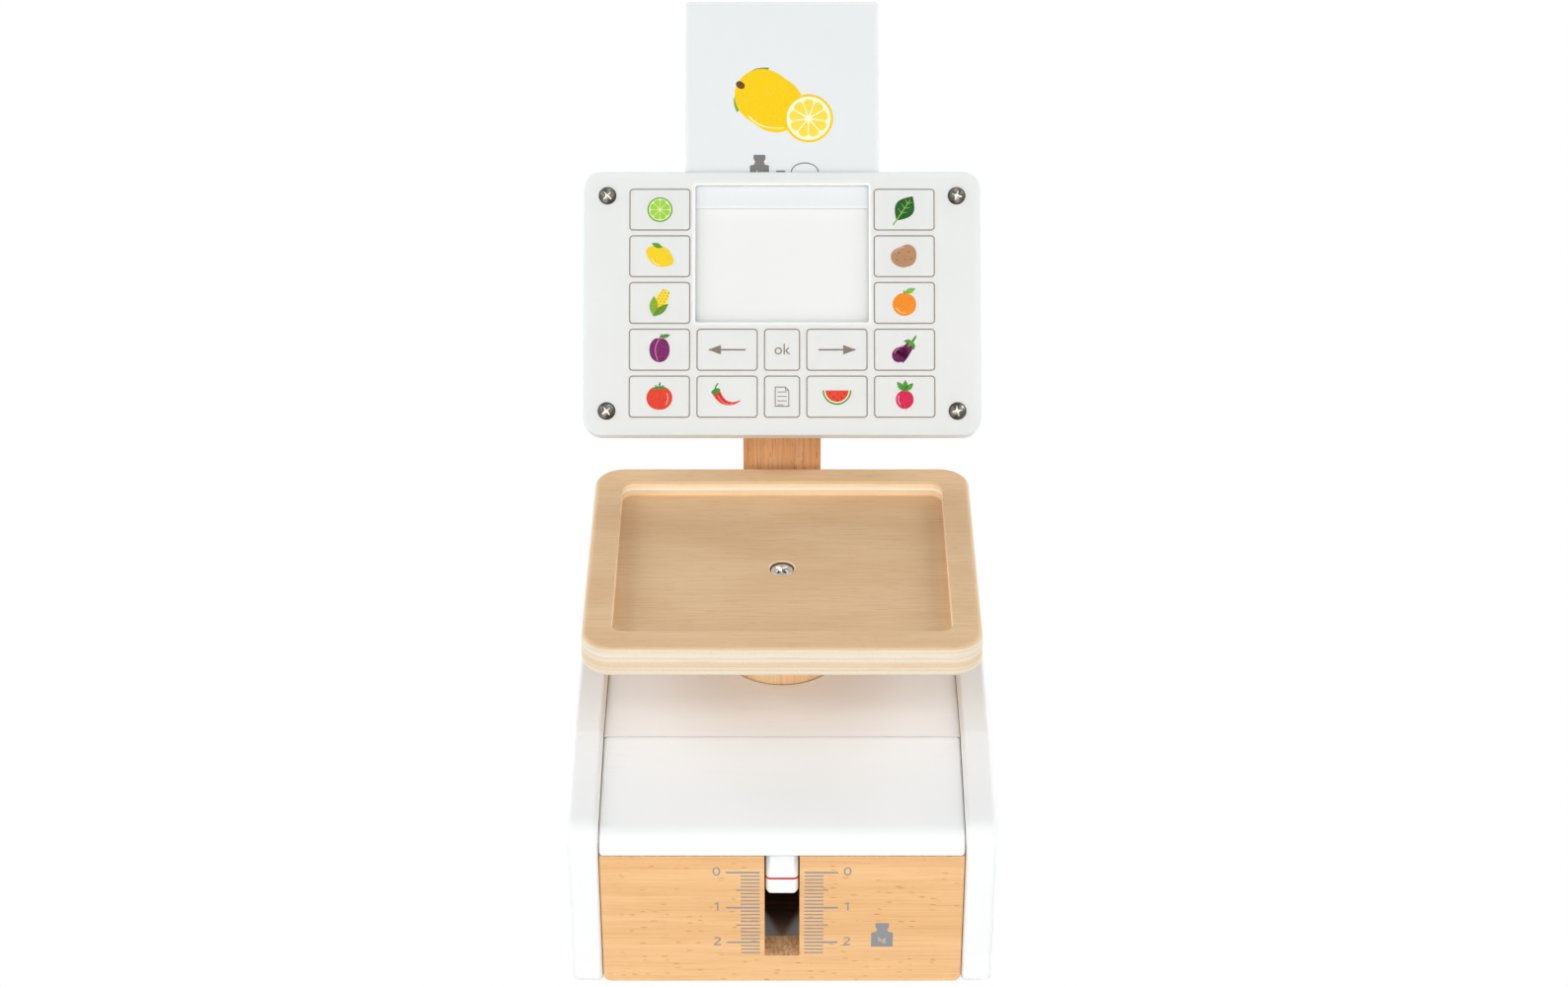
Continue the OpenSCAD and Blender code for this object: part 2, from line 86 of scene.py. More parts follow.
def srgb(code):
    """Linear colour of a hexadecimal screen colour."""
    values = [int(code[i : i + 2], 16) / 255 for i in (0, 2, 4)]
    return (*[v / 12.92 if v <= 0.04045 else ((v + 0.055) / 1.055) ** 2.4 for v in values], 1)


def cos_deg(degrees):
    return math.cos(math.radians(degrees))


def sin_deg(degrees):
    return math.sin(math.radians(degrees))


def turned(point, degrees, at=(0, 0)):
    """A point turned about the origin and then moved."""
    c, s = cos_deg(degrees), sin_deg(degrees)
    return (at[0] + c * point[0] - s * point[1], at[1] + s * point[0] + c * point[1])


# Meshes


def skin(mesh, rings, closed=False):
    """Faces between each ring of corners and the next one, and if closed between the last and the first."""
    following = rings[1:] + (rings[:1] if closed else [])
    faces = []
    for one, two in zip(rings, following):
        for i in range(len(one)):
            j = (i + 1) % len(one)
            faces.append(mesh.faces.new((one[i], one[j], two[j], two[i])))
    return faces


def add_piece(name, mesh, body, material, node=None, smooth=False):
    """An object from a bmesh, which rides on a body, and takes a CAD node's place if one is named."""
    if smooth:
        for face in mesh.faces:
            face.smooth = True
    data = bpy.data.meshes.new(name)
    mesh.to_mesh(data)
    mesh.free()
    data.materials.append(material)
    piece = bpy.data.objects.new(name, data)
    scene.collection.objects.link(piece)
    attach(piece, body)
    if node:
        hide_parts(node)
    return piece


def shade_evenly(piece):
    """Lets large faces set the shading, so that they look flat beside their round edges."""
    piece.modifiers.new("shade", "WEIGHTED_NORMAL").weight = 100


class Plane:
    """A plane with its own directions: a place in it is given in millimetres, right, up and out of it."""

    def __init__(self, origin, right, up):
        self.origin, self.right, self.up = Vector(origin), Vector(right), Vector(up)
        self.out = self.right.cross(self.up)

    def place(self, x, y, z=0.0):
        return self.origin + (self.right * x + self.up * y + self.out * z) * MM


# Materials


class Nodes:
    """A node tree. add() makes a node, and the short calls return its output socket."""

    def __init__(self, tree):
        self.tree = tree

    def add(self, kind, inputs=None, **settings):
        node = self.tree.nodes.new(kind)
        for name, value in settings.items():
            setattr(node, name, value)
        for name, value in (inputs or {}).items():
            self.feed(node.inputs[name], value)
        return node

    def feed(self, socket, value):
        """Links a socket to another, or gives it a number, a vector or a colour's code."""
        if isinstance(value, bpy.types.NodeSocket):
            self.tree.links.new(value, socket)
        else:
            socket.default_value = srgb(value) if isinstance(value, str) else value

    def math(self, operation, a, b=0.0):
        return self.add("ShaderNodeMath", {0: a, 1: b}, operation=operation).outputs[0]

    def largest(self, first, *others):
        for value in others:
            first = self.math("MAXIMUM", first, value)
        return first


class Finish(Nodes):
    """One procedural material."""

    def __init__(self, name, roughness=0.5, **constants):
        self.material = bpy.data.materials.new(name)
        self.material.use_nodes = True
        super().__init__(self.material.node_tree)
        self.shader = self.tree.nodes["Principled BSDF"]
        self.shader.inputs["Roughness"].default_value = roughness
        for socket, value in constants.items():
            self.shader.inputs[socket.replace("_", " ")].default_value = value
        coordinates = self.add("ShaderNodeTexCoord").outputs
        self.place = coordinates["Object"]
        self.normal = coordinates["Normal"]

    def stretched(self, per_mm):
        """The place in the row frame, with each axis multiplied: per_mm counts features per millimetre."""
        scale = tuple(s / MM for s in per_mm)
        return self.add("ShaderNodeVectorMath", {0: self.place, 1: scale}, operation="MULTIPLY").outputs[0]

    def noise(self, per_mm, detail=2.0, roughness=0.5, distortion=0.0):
        inputs = {"Vector": self.stretched(per_mm), "Scale": 1.0, "Detail": detail}
        inputs.update({"Roughness": roughness, "Distortion": distortion})
        return self.add("ShaderNodeTexNoise", inputs).outputs["Fac"]

    def attribute(self, name):
        """The outputs of a value that the mesh carries."""
        return self.add("ShaderNodeAttribute", attribute_name=name).outputs

    def split(self, vector):
        """The three parts of a vector."""
        return self.add("ShaderNodeSeparateXYZ", {0: vector}).outputs

    def range(self, value, low, high, to_low=0.0, to_high=1.0):
        inputs = {"Value": value, "From Min": low, "From Max": high, "To Min": to_low, "To Max": to_high}
        return self.add("ShaderNodeMapRange", inputs, interpolation_type="SMOOTHSTEP").outputs[0]

    def mix(self, share, a, b, blend="MIX"):
        inputs = {"Factor": share, 6: a, 7: b}
        return self.add("ShaderNodeMix", inputs, data_type="RGBA", blend_type=blend).outputs[2]

    def minus(self, a, b):
        return self.math("SUBTRACT", a, b)

    def times(self, first, *others):
        for value in others:
            first = self.math("MULTIPLY", first, value)
        return first

    def between(self, value, low, high):
        """One between two limits, elsewhere zero."""
        return self.times(self.math("GREATER_THAN", value, low), self.math("LESS_THAN", value, high))

    def within_radius(self, centre_y, radius):
        """One inside an upright cylinder in the middle plane, elsewhere zero."""
        x, y, _ = self.split(self.place)
        away = self.minus(y, centre_y)
        square = self.math("ADD", self.times(x, x), self.times(away, away))
        return self.math("LESS_THAN", square, radius**2)

    def colour(self, value):
        self.feed(self.shader.inputs["Base Color"], value)

    def roughness(self, value):
        self.feed(self.shader.inputs["Roughness"], value)

    def bump(self, height, depth_mm):
        inputs = {"Height": height, "Distance": depth_mm * MM, "Strength": 0.3}
        self.feed(self.shader.inputs["Normal"], self.add("ShaderNodeBump", inputs).outputs[0])


def per_mm(along, across, grain):
    """Features per millimetre on the three axes, for a grain that runs along one of them."""
    return tuple(along if axis == grain else across for axis in "XYZ")


def beech(name, light, dark, fleck, grain, fleck_share=0.16, fleck_size=(0.23, 1.1), streak=0.3, cut=None):
    """Oiled beech: fine fibres, soft bands and the short dark flecks of its rays. Cut colours faces up."""
    f = Finish(name, roughness=0.5, Specular_IOR_Level=0.3)
    fibres = f.noise(per_mm(0.03, 1.5, grain), detail=4, roughness=0.7)
    pores = f.noise(per_mm(0.14, 2.6, grain), distortion=0.3)
    bands = f.noise(per_mm(0.005, 0.12, grain), detail=3, distortion=0.4)
    wood = f.mix(f.range(bands, 0.3, 0.7), light, dark)
    wood = f.mix(f.range(fibres, 0.42, 0.74, 0, streak), wood, fleck)
    wood = f.mix(f.range(pores, 0.6, 0.76, 0, streak), wood, fleck)
    drift = f.noise(per_mm(0.1, 0.25, grain))
    cells = f.stretched(per_mm(*fleck_size, grain))
    tilted = f.add("ShaderNodeVectorMath", {0: cells, 1: drift}, operation="ADD").outputs[0]
    flecks = f.add("ShaderNodeTexVoronoi", {"Vector": tilted, "Scale": 1.0}).outputs
    luck = f.split(flecks["Color"])
    chosen = f.math("LESS_THAN", luck["X"], fleck_share)
    reach = f.range(luck["Y"], 0, 1, 0.16, 0.44)
    core = f.range(f.minus(reach, flecks["Distance"]), 0, 0.2)
    wood = f.mix(f.times(core, chosen, 0.62), wood, fleck)
    if cut:
        mottle = f.noise((1.1, 0.5, 1.1), detail=3, roughness=0.7)
        sawn = f.mix(f.range(mottle, 0.35, 0.65), *cut)
        wood = f.mix(f.range(f.split(f.normal)["Z"], 0.85, 0.95), wood, sawn)
    f.colour(wood)
    f.roughness(f.range(fibres, 0.3, 0.7, 0.44, 0.58))
    f.bump(fibres, 0.05)
    return f.material


def ply_colours(f, depth, plies):
    """The colour of a ply edge at a depth below the top face: plies are pairs of thickness and colour."""
    total = sum(thickness for thickness, _ in plies)
    ramp = f.add("ShaderNodeValToRGB", {0: f.math("DIVIDE", depth, total)})
    ramp.color_ramp.interpolation = "LINEAR"
    at = 0.0
    places = []
    for thickness, code in plies:
        blend = min(0.15, thickness / 4)
        places += [((at + blend) / total, srgb(code)), ((at + thickness - blend) / total, srgb(code))]
        at += thickness
    stops = ramp.color_ramp.elements
    for stop, (place, colour) in zip([stops[0], stops[1]], (places[0], places[-1])):
        stop.position, stop.color = place, colour
    for place, colour in places[1:-1]:
        stop = stops.new(place)
        stop.color = colour
    return ramp.outputs[0]


def plywood(name, top_z, plies, face, face_dark, glue, recess, screw_shadow):
    """Plywood: a fine-grained face veneer, and on the edges one band for each ply below top_z.

    Recess holds half its width, its near and far edge and its own plies. The last argument holds the middle's
    y and the radius of a disc painted dark brown as shade round the tray's screw.
    """
    f = Finish(name, roughness=0.52, Specular_IOR_Level=0.3)
    fibres = f.noise(per_mm(0.04, 2.0, "X"), detail=4, roughness=0.75)
    dashes = f.noise(per_mm(0.12, 2.6, "X"))
    clouds = f.noise((0.012, 0.04, 0.03), distortion=0.8)
    veneer = f.mix(f.range(clouds, 0.3, 0.7, 0, 0.45), face, face_dark)
    veneer = f.mix(f.range(fibres, 0.4, 0.72, 0, 0.6), veneer, face_dark)
    veneer = f.mix(f.range(dashes, 0.58, 0.74, 0, 0.6), veneer, glue)

    # Depth of a point below the top face, in millimetres, with the wobble of real plies
    x, y, z = f.split(f.place)
    wobble = f.times(f.minus(f.noise((0.03, 0.03, 0.03)), 0.5), 0.6)
    depth = f.math("ADD", f.minus(top_z / MM, f.math("DIVIDE", z, MM)), wobble)
    half, low_y, high_y, inner_plies = recess
    within = f.times(f.between(x, -half, half), f.between(y, low_y, high_y))
    bands = f.mix(within, ply_colours(f, depth, plies), ply_colours(f, depth, inner_plies))
    pores = f.noise((1.1, 1.1, 1.6), roughness=0.7)
    streaks = f.noise((0.06, 0.06, 2.4))
    edges = f.mix(f.range(f.largest(pores, streaks), 0.5, 0.8, 0, 0.25), bands, glue)

    upright = f.math("ABSOLUTE", f.split(f.normal)["Z"])
    wood = f.mix(f.range(upright, 0.62, 0.9), edges, veneer)
    # Painted shade: a dark brown disc round the tray's screw stands in for the shadow in the gap round its
    # head
    f.colour(f.mix(f.within_radius(*screw_shadow), wood, "4a3120"))
    f.roughness(f.range(fibres, 0.3, 0.7, 0.46, 0.6))
    f.bump(fibres, 0.04)
    return f.material


def paint(name, colour, shade, bare=None):
    """Sprayed paint over wood whose grain shows a little. If bare is given, wood inside and joints show."""
    f = Finish(name, roughness=0.5, Specular_IOR_Level=0.12)
    clouds = f.noise((0.015, 0.015, 0.015))
    pits = f.noise((1.3, 1.3, 1.3), roughness=0.6)
    fibres = f.noise(per_mm(0.05, 0.9, "X"), detail=3, roughness=0.7)
    share = f.largest(f.range(clouds, 0.3, 0.7, 0, 0.4), f.range(fibres, 0.45, 0.75, 0, 0.3))
    coat = f.mix(share, colour, shade)
    if bare:
        inside = f.times(*[f.between(*span) for span in zip(f.split(f.place), *INSIDE)])
        streaks = f.noise((0.04, 0.6, 1.5), detail=3, roughness=0.6)
        coat = f.mix(inside, coat, f.mix(streaks, bare, "63452c"))
        coat = f.mix(joint_share(f), coat, "8f7256")
    f.colour(coat)
    f.roughness(f.range(clouds, 0.3, 0.7, 0.45, 0.56))
    f.bump(f.math("ADD", pits, fibres), 0.014)
    return f.material


def joint_share(f):
    """One in the joints beside the front panel, behind the hood and round the plunger, elsewhere zero."""
    x, y, z = f.split(f.place)
    away = f.math("ABSOLUTE", x)
    beside = f.between(away, SIDE_JOINT_X - JOINT_HALF, SIDE_JOINT_X + JOINT_HALF)
    beside = f.times(beside, f.math("LESS_THAN", z, front_high.z))
    behind = f.between(y, TOP_JOINT_Y - JOINT_HALF, TOP_JOINT_Y + JOINT_HALF)
    behind = f.times(behind, f.math("LESS_THAN", away, SIDE_JOINT_X), f.math("GREATER_THAN", z, base_high.z))
    return f.largest(beside, behind, f.within_radius(plunger_middle.y, BORE_R))


def slot_floor(name, wood, coat):
    """The base board: wood with a dark stain inside, and painted light behind the slot with a painted
    V-shadow.
    """
    f = Finish(name, roughness=0.6, Specular_IOR_Level=0.12)
    streaks = f.noise(per_mm(0.05, 0.6, "X"), detail=3, roughness=0.6)
    x, y, z = f.split(f.place)
    # Painted light: paler towards the slot, a painted patch of light behind it and a painted V-shaped shadow
    # in the middle
    near = f.range(y, LIGHT_FROM_Y * MM, LIGHT_TO_Y * MM, 1, 0)
    wedge = f.times(f.minus(y, SHADOW_TIP_Y * MM), SHADOW_SLOPE)
    aside = f.range(f.minus(f.math("ABSOLUTE", x), wedge), -SHADOW_BLUR * MM, SHADOW_BLUR * MM)
    painted_light_patch = f.times(f.range(near, 0, 0.4), aside)
    above = f.math("GREATER_THAN", z, base_high.z - MARGIN_IN)
    inside = f.times(above, f.math("GREATER_THAN", y, front_high.y))
    stain_and_painted_light = f.mix(f.range(streaks, 0.3, 0.7), wood, "5f3c2a")
    stain_and_painted_light = f.mix(f.times(near, near), stain_and_painted_light, "f6d9c2")
    f.colour(f.mix(inside, coat, f.mix(painted_light_patch, stain_and_painted_light, "fdfcf8")))
    f.bump(streaks, 0.02)
    return f.material


def frosted(name):
    """Frosted clear sheet, with a painted edge light: paler along its edges, where light gets in."""
    f = Finish(name, roughness=0.4, IOR=1.45, Specular_IOR_Level=0.3)
    speckle = f.noise((2.5, 2.5, 2.5), roughness=0.6)
    clouds = f.noise((0.02, 0.02, 0.02), detail=1)
    f.colour(f.mix(f.attribute("rim")["Fac"], f.mix(clouds, "f9fbf9", "fcfdfb"), "f9fdfd"))
    f.feed(f.shader.inputs["Transmission Weight"], f.attribute("clear")["Fac"])
    f.roughness(f.range(speckle, 0.3, 0.7, 0.36, 0.46))
    f.bump(speckle, 0.01)
    return f.material


def metal(name, colour, dark, roughness=0.28, mesh_painted_light=False):
    """Plated steel, a little dull in patches. If asked, its colour is multiplied by a brightness in the mesh:
    painted highlights and shade.
    """
    f = Finish(name, roughness=roughness, Metallic=1.0)
    patches = f.noise((0.5, 0.5, 0.5), detail=3, roughness=0.6)
    fine = f.noise((6, 6, 6))
    tone_and_painted_light = f.mix(f.range(patches, 0.35, 0.7), colour, dark)
    if mesh_painted_light:
        tone_and_painted_light = f.mix(1.0, tone_and_painted_light, f.attribute("tone_and_painted_light")["Color"], "MULTIPLY")
    f.colour(tone_and_painted_light)
    f.roughness(f.range(fine, 0.3, 0.7, roughness - 0.08, roughness + 0.1))
    f.bump(fine, 0.01)
    return f.material


def card_stock(name):
    """Laminated board: a smooth film over white card."""
    f = Finish(name, roughness=0.3, Specular_IOR_Level=0.4)
    clouds = f.noise((0.02, 0.02, 0.02), detail=1)
    fibre = f.noise((1.8, 1.8, 1.8), detail=3)
    f.colour(f.mix(clouds, "ebefef", "e7ebec"))
    f.roughness(f.range(fibre, 0.3, 0.7, 0.27, 0.35))
    f.bump(fibre, 0.008)
    return f.material


def inks(name):
    """Printed ink: the colour of each shape is in the mesh, thinned here and there as print is."""
    f = Finish(name, roughness=0.4, Specular_IOR_Level=0.1)
    thin = f.noise((1.6, 1.6, 1.6), roughness=0.6)
    f.colour(f.mix(f.range(thin, 0.45, 0.8, 0, 0.06), f.attribute("ink")["Color"], "ffffff"))
    f.roughness(f.range(thin, 0.3, 0.7, 0.36, 0.46))
    return f.material


# Prints


def ring_points(radii, turn=0.0, steps=32, at=(0, 0)):
    """Points round an ellipse."""
    angles = [360 * k / steps for k in range(steps)]
    return [turned((radii[0] * cos_deg(a), radii[1] * sin_deg(a)), turn, at) for a in angles]


def polar_points(radius, steps=48, at=(0, 0), turn=0.0):
    """Points round a shape whose radius is a function of the angle from straight up, in degrees."""
    return [turned((radius(a), 0), 90 + turn - a, at) for a in [360 * k / steps for k in range(steps)]]


def round_rect_points(w, h, r, at=(0, 0), steps=6):
    """Points round a rectangle with round corners, given its lower left corner."""
    points = []
    for i, (x, y) in enumerate(((w - r, h - r), (r, h - r), (r, r), (w - r, r))):
        centre = (at[0] + x, at[1] + y)
        points += [turned((r, 0), 90 * i + 90 * k / steps, centre) for k in range(steps + 1)]
    return points


def leaf_points(start, end, bulge, steps=10):
    """A leaf between two points, each side an arc that swells to bulge times its length."""
    a, along = Vector(start), Vector(end) - Vector(start)
    side = Vector((-along.y, along.x)) * bulge
    shares = [k / steps for k in range(steps + 1)]
    there = [a + along * t + side * math.sin(math.pi * t) for t in shares]
    back = [a + along * t - side * math.sin(math.pi * t) for t in shares[-2:0:-1]]
    return [tuple(p) for p in there + back]


def stroke_points(line, width, end_width=None):
    """The outline of a line with a width, which may change evenly along it."""
    line = [Vector(p) for p in line]
    end_width = width if end_width is None else end_width
    left, right = [], []
    for i, p in enumerate(line):
        along = (line[min(i + 1, len(line) - 1)] - line[max(i - 1, 0)]).normalized()
        half = (width + (end_width - width) * i / (len(line) - 1)) / 2
        side = Vector((-along.y, along.x)) * half
        left.append(tuple(p + side))
        right.append(tuple(p - side))
    return left + right[::-1]


def curve_points(start, bend, end, steps=10):
    """A curve from start to end that is drawn towards bend."""
    a, b, c = Vector(start), Vector(bend), Vector(end)
    shares = [k / steps for k in range(steps + 1)]
    return [tuple(a * (1 - t) ** 2 + b * 2 * t * (1 - t) + c * t * t) for t in shares]


class Print(Plane):
    """Inks on a plane, each shape a thin closed prism. Its outline is measured from the place named at."""

    def __init__(self, name, body, slot, *plane):
        super().__init__(*plane)
        self.name, self.body, self.slot = name, body, slot
        self.at = (0, 0)
        self.mesh = bmesh.new()
        self.ink = self.mesh.loops.layers.float_color.new("ink")

    def corners(self, outline, height):
        x, y = self.at
        return [self.mesh.verts.new(self.place(x + p[0], y + p[1], height)) for p in outline]

    def tint(self, faces, colour):
        for face in faces:
            for loop in face.loops:
                loop[self.ink] = srgb(colour)

    def shape(self, outline, colour, level=1, height=None):
        """A filled shape, as high as its level of ink unless a height is given."""
        area = sum(p[0] * q[1] - q[0] * p[1] for p, q in zip(outline, outline[1:] + outline[:1]))
        outline = outline if area > 0 else outline[::-1]
        top, low = self.corners(outline, height or INK * level), self.corners(outline, 0)
        ends = [self.mesh.faces.new(top), self.mesh.faces.new(low[::-1])]
        self.tint(ends + skin(self.mesh, [low, top]), colour)

    def band(self, outer, inner, colour, level=1):
        """The strip between two outlines with as many points, both counter-clockwise."""
        top = INK * level
        rows = [self.corners(*row) for row in ((outer, 0), (outer, top), (inner, top), (inner, 0))]
        self.tint(skin(self.mesh, rows, closed=True), colour)

    def line(self, points, width, colour, level=1, end_width=None):
        self.shape(stroke_points(points, width, end_width), colour, level)

    def curve(self, start, bend, end, width, colour, level, end_width=None, steps=10):
        self.line(curve_points(start, bend, end, steps), width, colour, level, end_width)

    def leaf(self, start, end, bulge, colour, level):
        self.shape(leaf_points(start, end, bulge), colour, level)

    def oval(self, radii, colour, level, centre=(0, 0), turn=0.0, steps=32):
        self.shape(ring_points(radii, turn, steps, centre), colour, level)

    def rectangle(self, low, high, colour, level=1):
        self.shape([low, (high[0], low[1]), high, (low[0], high[1])], colour, level)

    def text(self, words, height, colour, level=1, up=0.0):
        """Words in the built-in typeface, with capitals and digits of this height, centred this far up."""
        curve = bpy.data.curves.new("words", "FONT")
        curve.body = words
        curve.align_x, curve.align_y = "CENTER", "CENTER"
        curve.resolution_u = 6
        curve.size = height / CAPITAL_SHARE
        holder = bpy.data.objects.new("words", curve)
        flat = bpy.data.meshes.new_from_object(holder)
        drawn = bmesh.new()
        drawn.from_mesh(flat)
        bmesh.ops.remove_doubles(drawn, verts=drawn.verts, dist=height * 1e-4)
        outline = [(v.co.x, v.co.y + up) for v in drawn.verts]
        tops = dict(zip(drawn.verts, self.corners(outline, INK * level)))
        lows = dict(zip(drawn.verts, self.corners(outline, 0)))
        for face in drawn.faces:
            turn = 1 if face.normal.z > 0 else -1
            sides = [[tops[v] for v in face.verts][::turn], [lows[v] for v in face.verts][::-turn]]
            for edge in face.edges:
                if len(edge.link_faces) == 1:
                    loop = next(l for l in face.loops if l.edge == edge)
                    a, b = (loop.vert, edge.other_vert(loop.vert))[::turn]
                    sides.append((lows[a], lows[b], tops[b], tops[a]))
            self.tint([self.mesh.faces.new(side) for side in sides], colour)
        drawn.free()
        bpy.data.objects.remove(holder)
        bpy.data.curves.remove(curve)
        bpy.data.meshes.remove(flat)

    def done(self):
        add_piece(self.name, self.mesh, self.body, INKS)


def draw_digit(p, number):
    """A plain 0, 1 or 2, drawn with strokes round its centre."""
    w = 0.6
    if number == 0:
        p.band(ring_points((1.5, 2.1)), ring_points((1.5 - w, 2.1 - w)), GREY_INK)
    elif number == 1:
        p.line([(0.3, 2.1), (0.3, -2.1)], w, GREY_INK)
        p.line([(0.3, 1.85), (-0.95, 1.15)], w, GREY_INK, 2)
    else:
        angles = [2.8 - 0.35 * k for k in range(11)]
        bow = [(1.08 * math.cos(a), 0.95 + 0.88 * math.sin(a)) for a in angles]
        p.line(bow + [(-1.15, -1.7)], w, GREY_INK)
        p.line([(-1.4, -1.8), (1.4, -1.8)], w, GREY_INK, 2)


def draw_weight(p, width, colour, letters):
    """A shop weight over the middle of its foot: a block with a neck and a flat knob."""
    half = [(0.5, 0), (0.5, 0.8), (0.46, 0.85), (0.28, 0.88), (0.23, 1.04), (0.32, 1.2), (0.3, 1.4)]
    outline = half + [(-x, y) for x, y in half[::-1]]
    p.shape([(x * width, y * width) for x, y in outline], colour, 2)
    p.text("kg", 0.3 * width, letters, 3, up=0.43 * width)


# Pictograms on the keys


def dent(a, depth, width):
    """A hollow at the top of a round shape, at an angle from straight up."""
    return depth * math.exp(-(((a - 360 * (a > 180)) / width) ** 2))


def draw_lime(p):
    p.oval((5.2, 5.2), "5fa321", 1)
    p.oval((4.6, 4.6), "e6f2b4", 2)
    wedge = [(0.35, 0), (3.45, -1.35), (4.1, -0.9), (4.3, 0), (4.1, 0.9), (3.45, 1.35)]
    for k in range(8):
        p.shape([turned(point, 22.5 + 45 * k) for point in wedge], "9fd048", 3)


def draw_lemon(p):
    body = polar_points(lambda a: 4.2 + 1.5 * abs(cos_deg(a)) ** 9 + 0.5 * abs(cos_deg(a)), turn=62)
    p.shape(body, "f2cf1d", 1)
    p.curve((-3.2, -1.2), (-2.6, -3.4), (0.2, -3.7), 0.35, "fff3a8", 2)
    p.leaf((1.2, 3.6), (-3.4, 5.4), 0.2, "58982b", 2)


def draw_corn(p):
    cob, lean = (0.4, 0.6), -28
    p.oval((2.5, 5.6), "f4dc3a", 2, cob, lean)
    for row in range(-1, 2):
        for k in range(-3, 4):
            kernel = turned((row * 1.3, k * 1.35 + (0.6 if row else 0)), lean, cob)
            p.oval((0.42, 0.5), "dfb51c", 3, kernel, steps=10)
    p.leaf((-2.6, -5.6), (-2.4, 3.0), 0.2, "7fae35", 3)
    p.leaf((-2.6, -5.6), (3.6, -0.4), 0.18, "5f9329", 3)


def draw_plum(p):
    p.shape(polar_points(lambda a: 4.7 + 0.5 * cos_deg(2 * a) - dent(a, 0.5, 14)), "7a1f63")
    p.curve((-0.2, 4.4), (-3.0, 0.4), (-0.6, -4.6), 0.35, "c98ab6", 2)
    p.curve((0, 4.4), (0.3, 5.6), (1.1, 6.5), 0.5, "5b4a33", 2, steps=6)
    p.leaf((0.3, 5.2), (4.4, 6.2), 0.2, "4f8a33", 2)


def draw_tomato(p):
    p.shape(polar_points(lambda a: 4.9 + 0.45 * abs(sin_deg(a)) - dent(a, 0.5, 18), at=(0, -0.5)), "e0402a")
    p.curve((3.0, 1.6), (4.2, -0.8), (2.6, -3.4), 0.4, "f5a08c", 2)
    for turn in (-76, -40, 0, 40, 76):
        tip = (3.2 * cos_deg(90 + turn), 3.6 + 2.1 * sin_deg(90 + turn) - 0.9 * abs(turn) / 76)
        p.leaf((0, 3.6), tip, 0.16, "3f8f3a", 2)
    p.line([(0, 3.6), (0.3, 6.0)], 0.6, "3f8f3a", 3)


def draw_spinach(p):
    p.leaf((-3.2, -4.6), (3.6, 5.6), 0.33, "1f5a26", 1)
    p.line([(-4.6, -6.4), (-3.0, -4.2), (2.6, 4.2)], 0.8, "8cc152", 2, 0.25)
    for t, reach in ((0.3, 2.4), (0.5, 2.5), (0.7, 1.9)):
        x, y = -3.2 + 6.8 * t, -4.6 + 10.2 * t
        for tip in ((x + reach, y + 0.5), (x - reach * 0.55, y + reach * 0.9)):
            p.line([(x, y), tip], 0.3, "8cc152", 2, 0.12)


def draw_potato(p):
    p.shape(polar_points(lambda a: 4.3 + 1.1 * abs(sin_deg(a + 20)) + 0.25 * sin_deg(3 * a)), "b58863")
    for x, y, turn in ((-2.2, 1.3, 20), (1.8, 1.9, -15), (0.2, -1.4, 10), (3.0, -1.2, 30), (-3.0, -1.6, -20)):
        p.oval((0.62, 0.25), "8c6544", 2, (x, y), turn, 12)
    p.curve((-3.9, 1.6), (-2.6, 3.7), (0.2, 3.8), 0.3, "dcbb9d", 2)


def draw_orange(p):
    p.oval((4.9, 4.8), "f08c1e", 1, (0, -0.6))
    p.curve((-3.4, -2.0), (-2.2, -4.2), (0.6, -4.3), 0.35, "fbc98a", 2)
    for pore in ((-1.6, 0.8), (1.9, -0.6), (0.1, -2.2), (2.6, 1.6), (-2.4, -1.2)):
        p.oval((0.2, 0.2), "c96d10", 2, pore, steps=8)
    p.line([(0, 3.9), (-0.1, 5.2)], 0.5, "5b7a2c", 2)
    p.leaf((0, 4.2), (4.6, 6.0), 0.22, "7db83a", 3)


def draw_aubergine(p):
    spine = curve_points((-3.4, -3.4), (-1.0, -3.2), (3.0, 3.0), 14)
    p.oval((3.5, 3.1), "6a1550", 1, (-1.9, -2.0), 40)
    p.line(spine[3:], 6.0, "6a1550", 1, 3.0)
    p.curve((-4.2, -1.4), (-3.4, 0.6), (-0.2, 1.9), 0.4, "b679a0", 2)
    p.leaf((3.4, 3.4), (-0.4, 3.6), 0.2, "4f8a33", 2)
    p.leaf((3.4, 3.4), (3.8, -0.2), 0.2, "4f8a33", 2)
    p.leaf((3.6, 3.6), (1.2, 1.2), 0.2, "63a03d", 3)
    p.line([(3.2, 3.2), (4.8, 5.8)], 1.0, "4f8a33", 3, 0.7)


def draw_radish(p):
    p.oval((3.7, 3.9), "d3224c", 1, (0, -1.2))
    p.leaf((0, -3.6), (0.6, -6.6), 0.16, "f4dfe3", 1)
    p.curve((-2.4, 0.4), (-3.1, -1.6), (-1.8, -3.4), 0.35, "f2a0b4", 2)
    for tip in ((-3.2, 6.2), (0.4, 7.0), (3.6, 5.6)):
        p.leaf((0, 2.2), tip, 0.22, "4f9a34", 2)


def draw_chilli(p):
    p.curve((-4.6, 2.0), (-1.0, -5.4), (5.4, -1.6), 3.4, "d92b1f", 1, 0.4, steps=16)
    p.curve((-4.0, 0.6), (-1.0, -4.6), (2.6, -2.8), 0.3, "f79a86", 2, steps=12)
    p.oval((1.95, 1.1), "3f8f3a", 2, (-4.7, 2.3), 24, 20)
    p.curve((-4.9, 2.7), (-5.0, 4.4), (-3.6, 5.6), 0.7, "3f8f3a", 2, 0.5, steps=8)


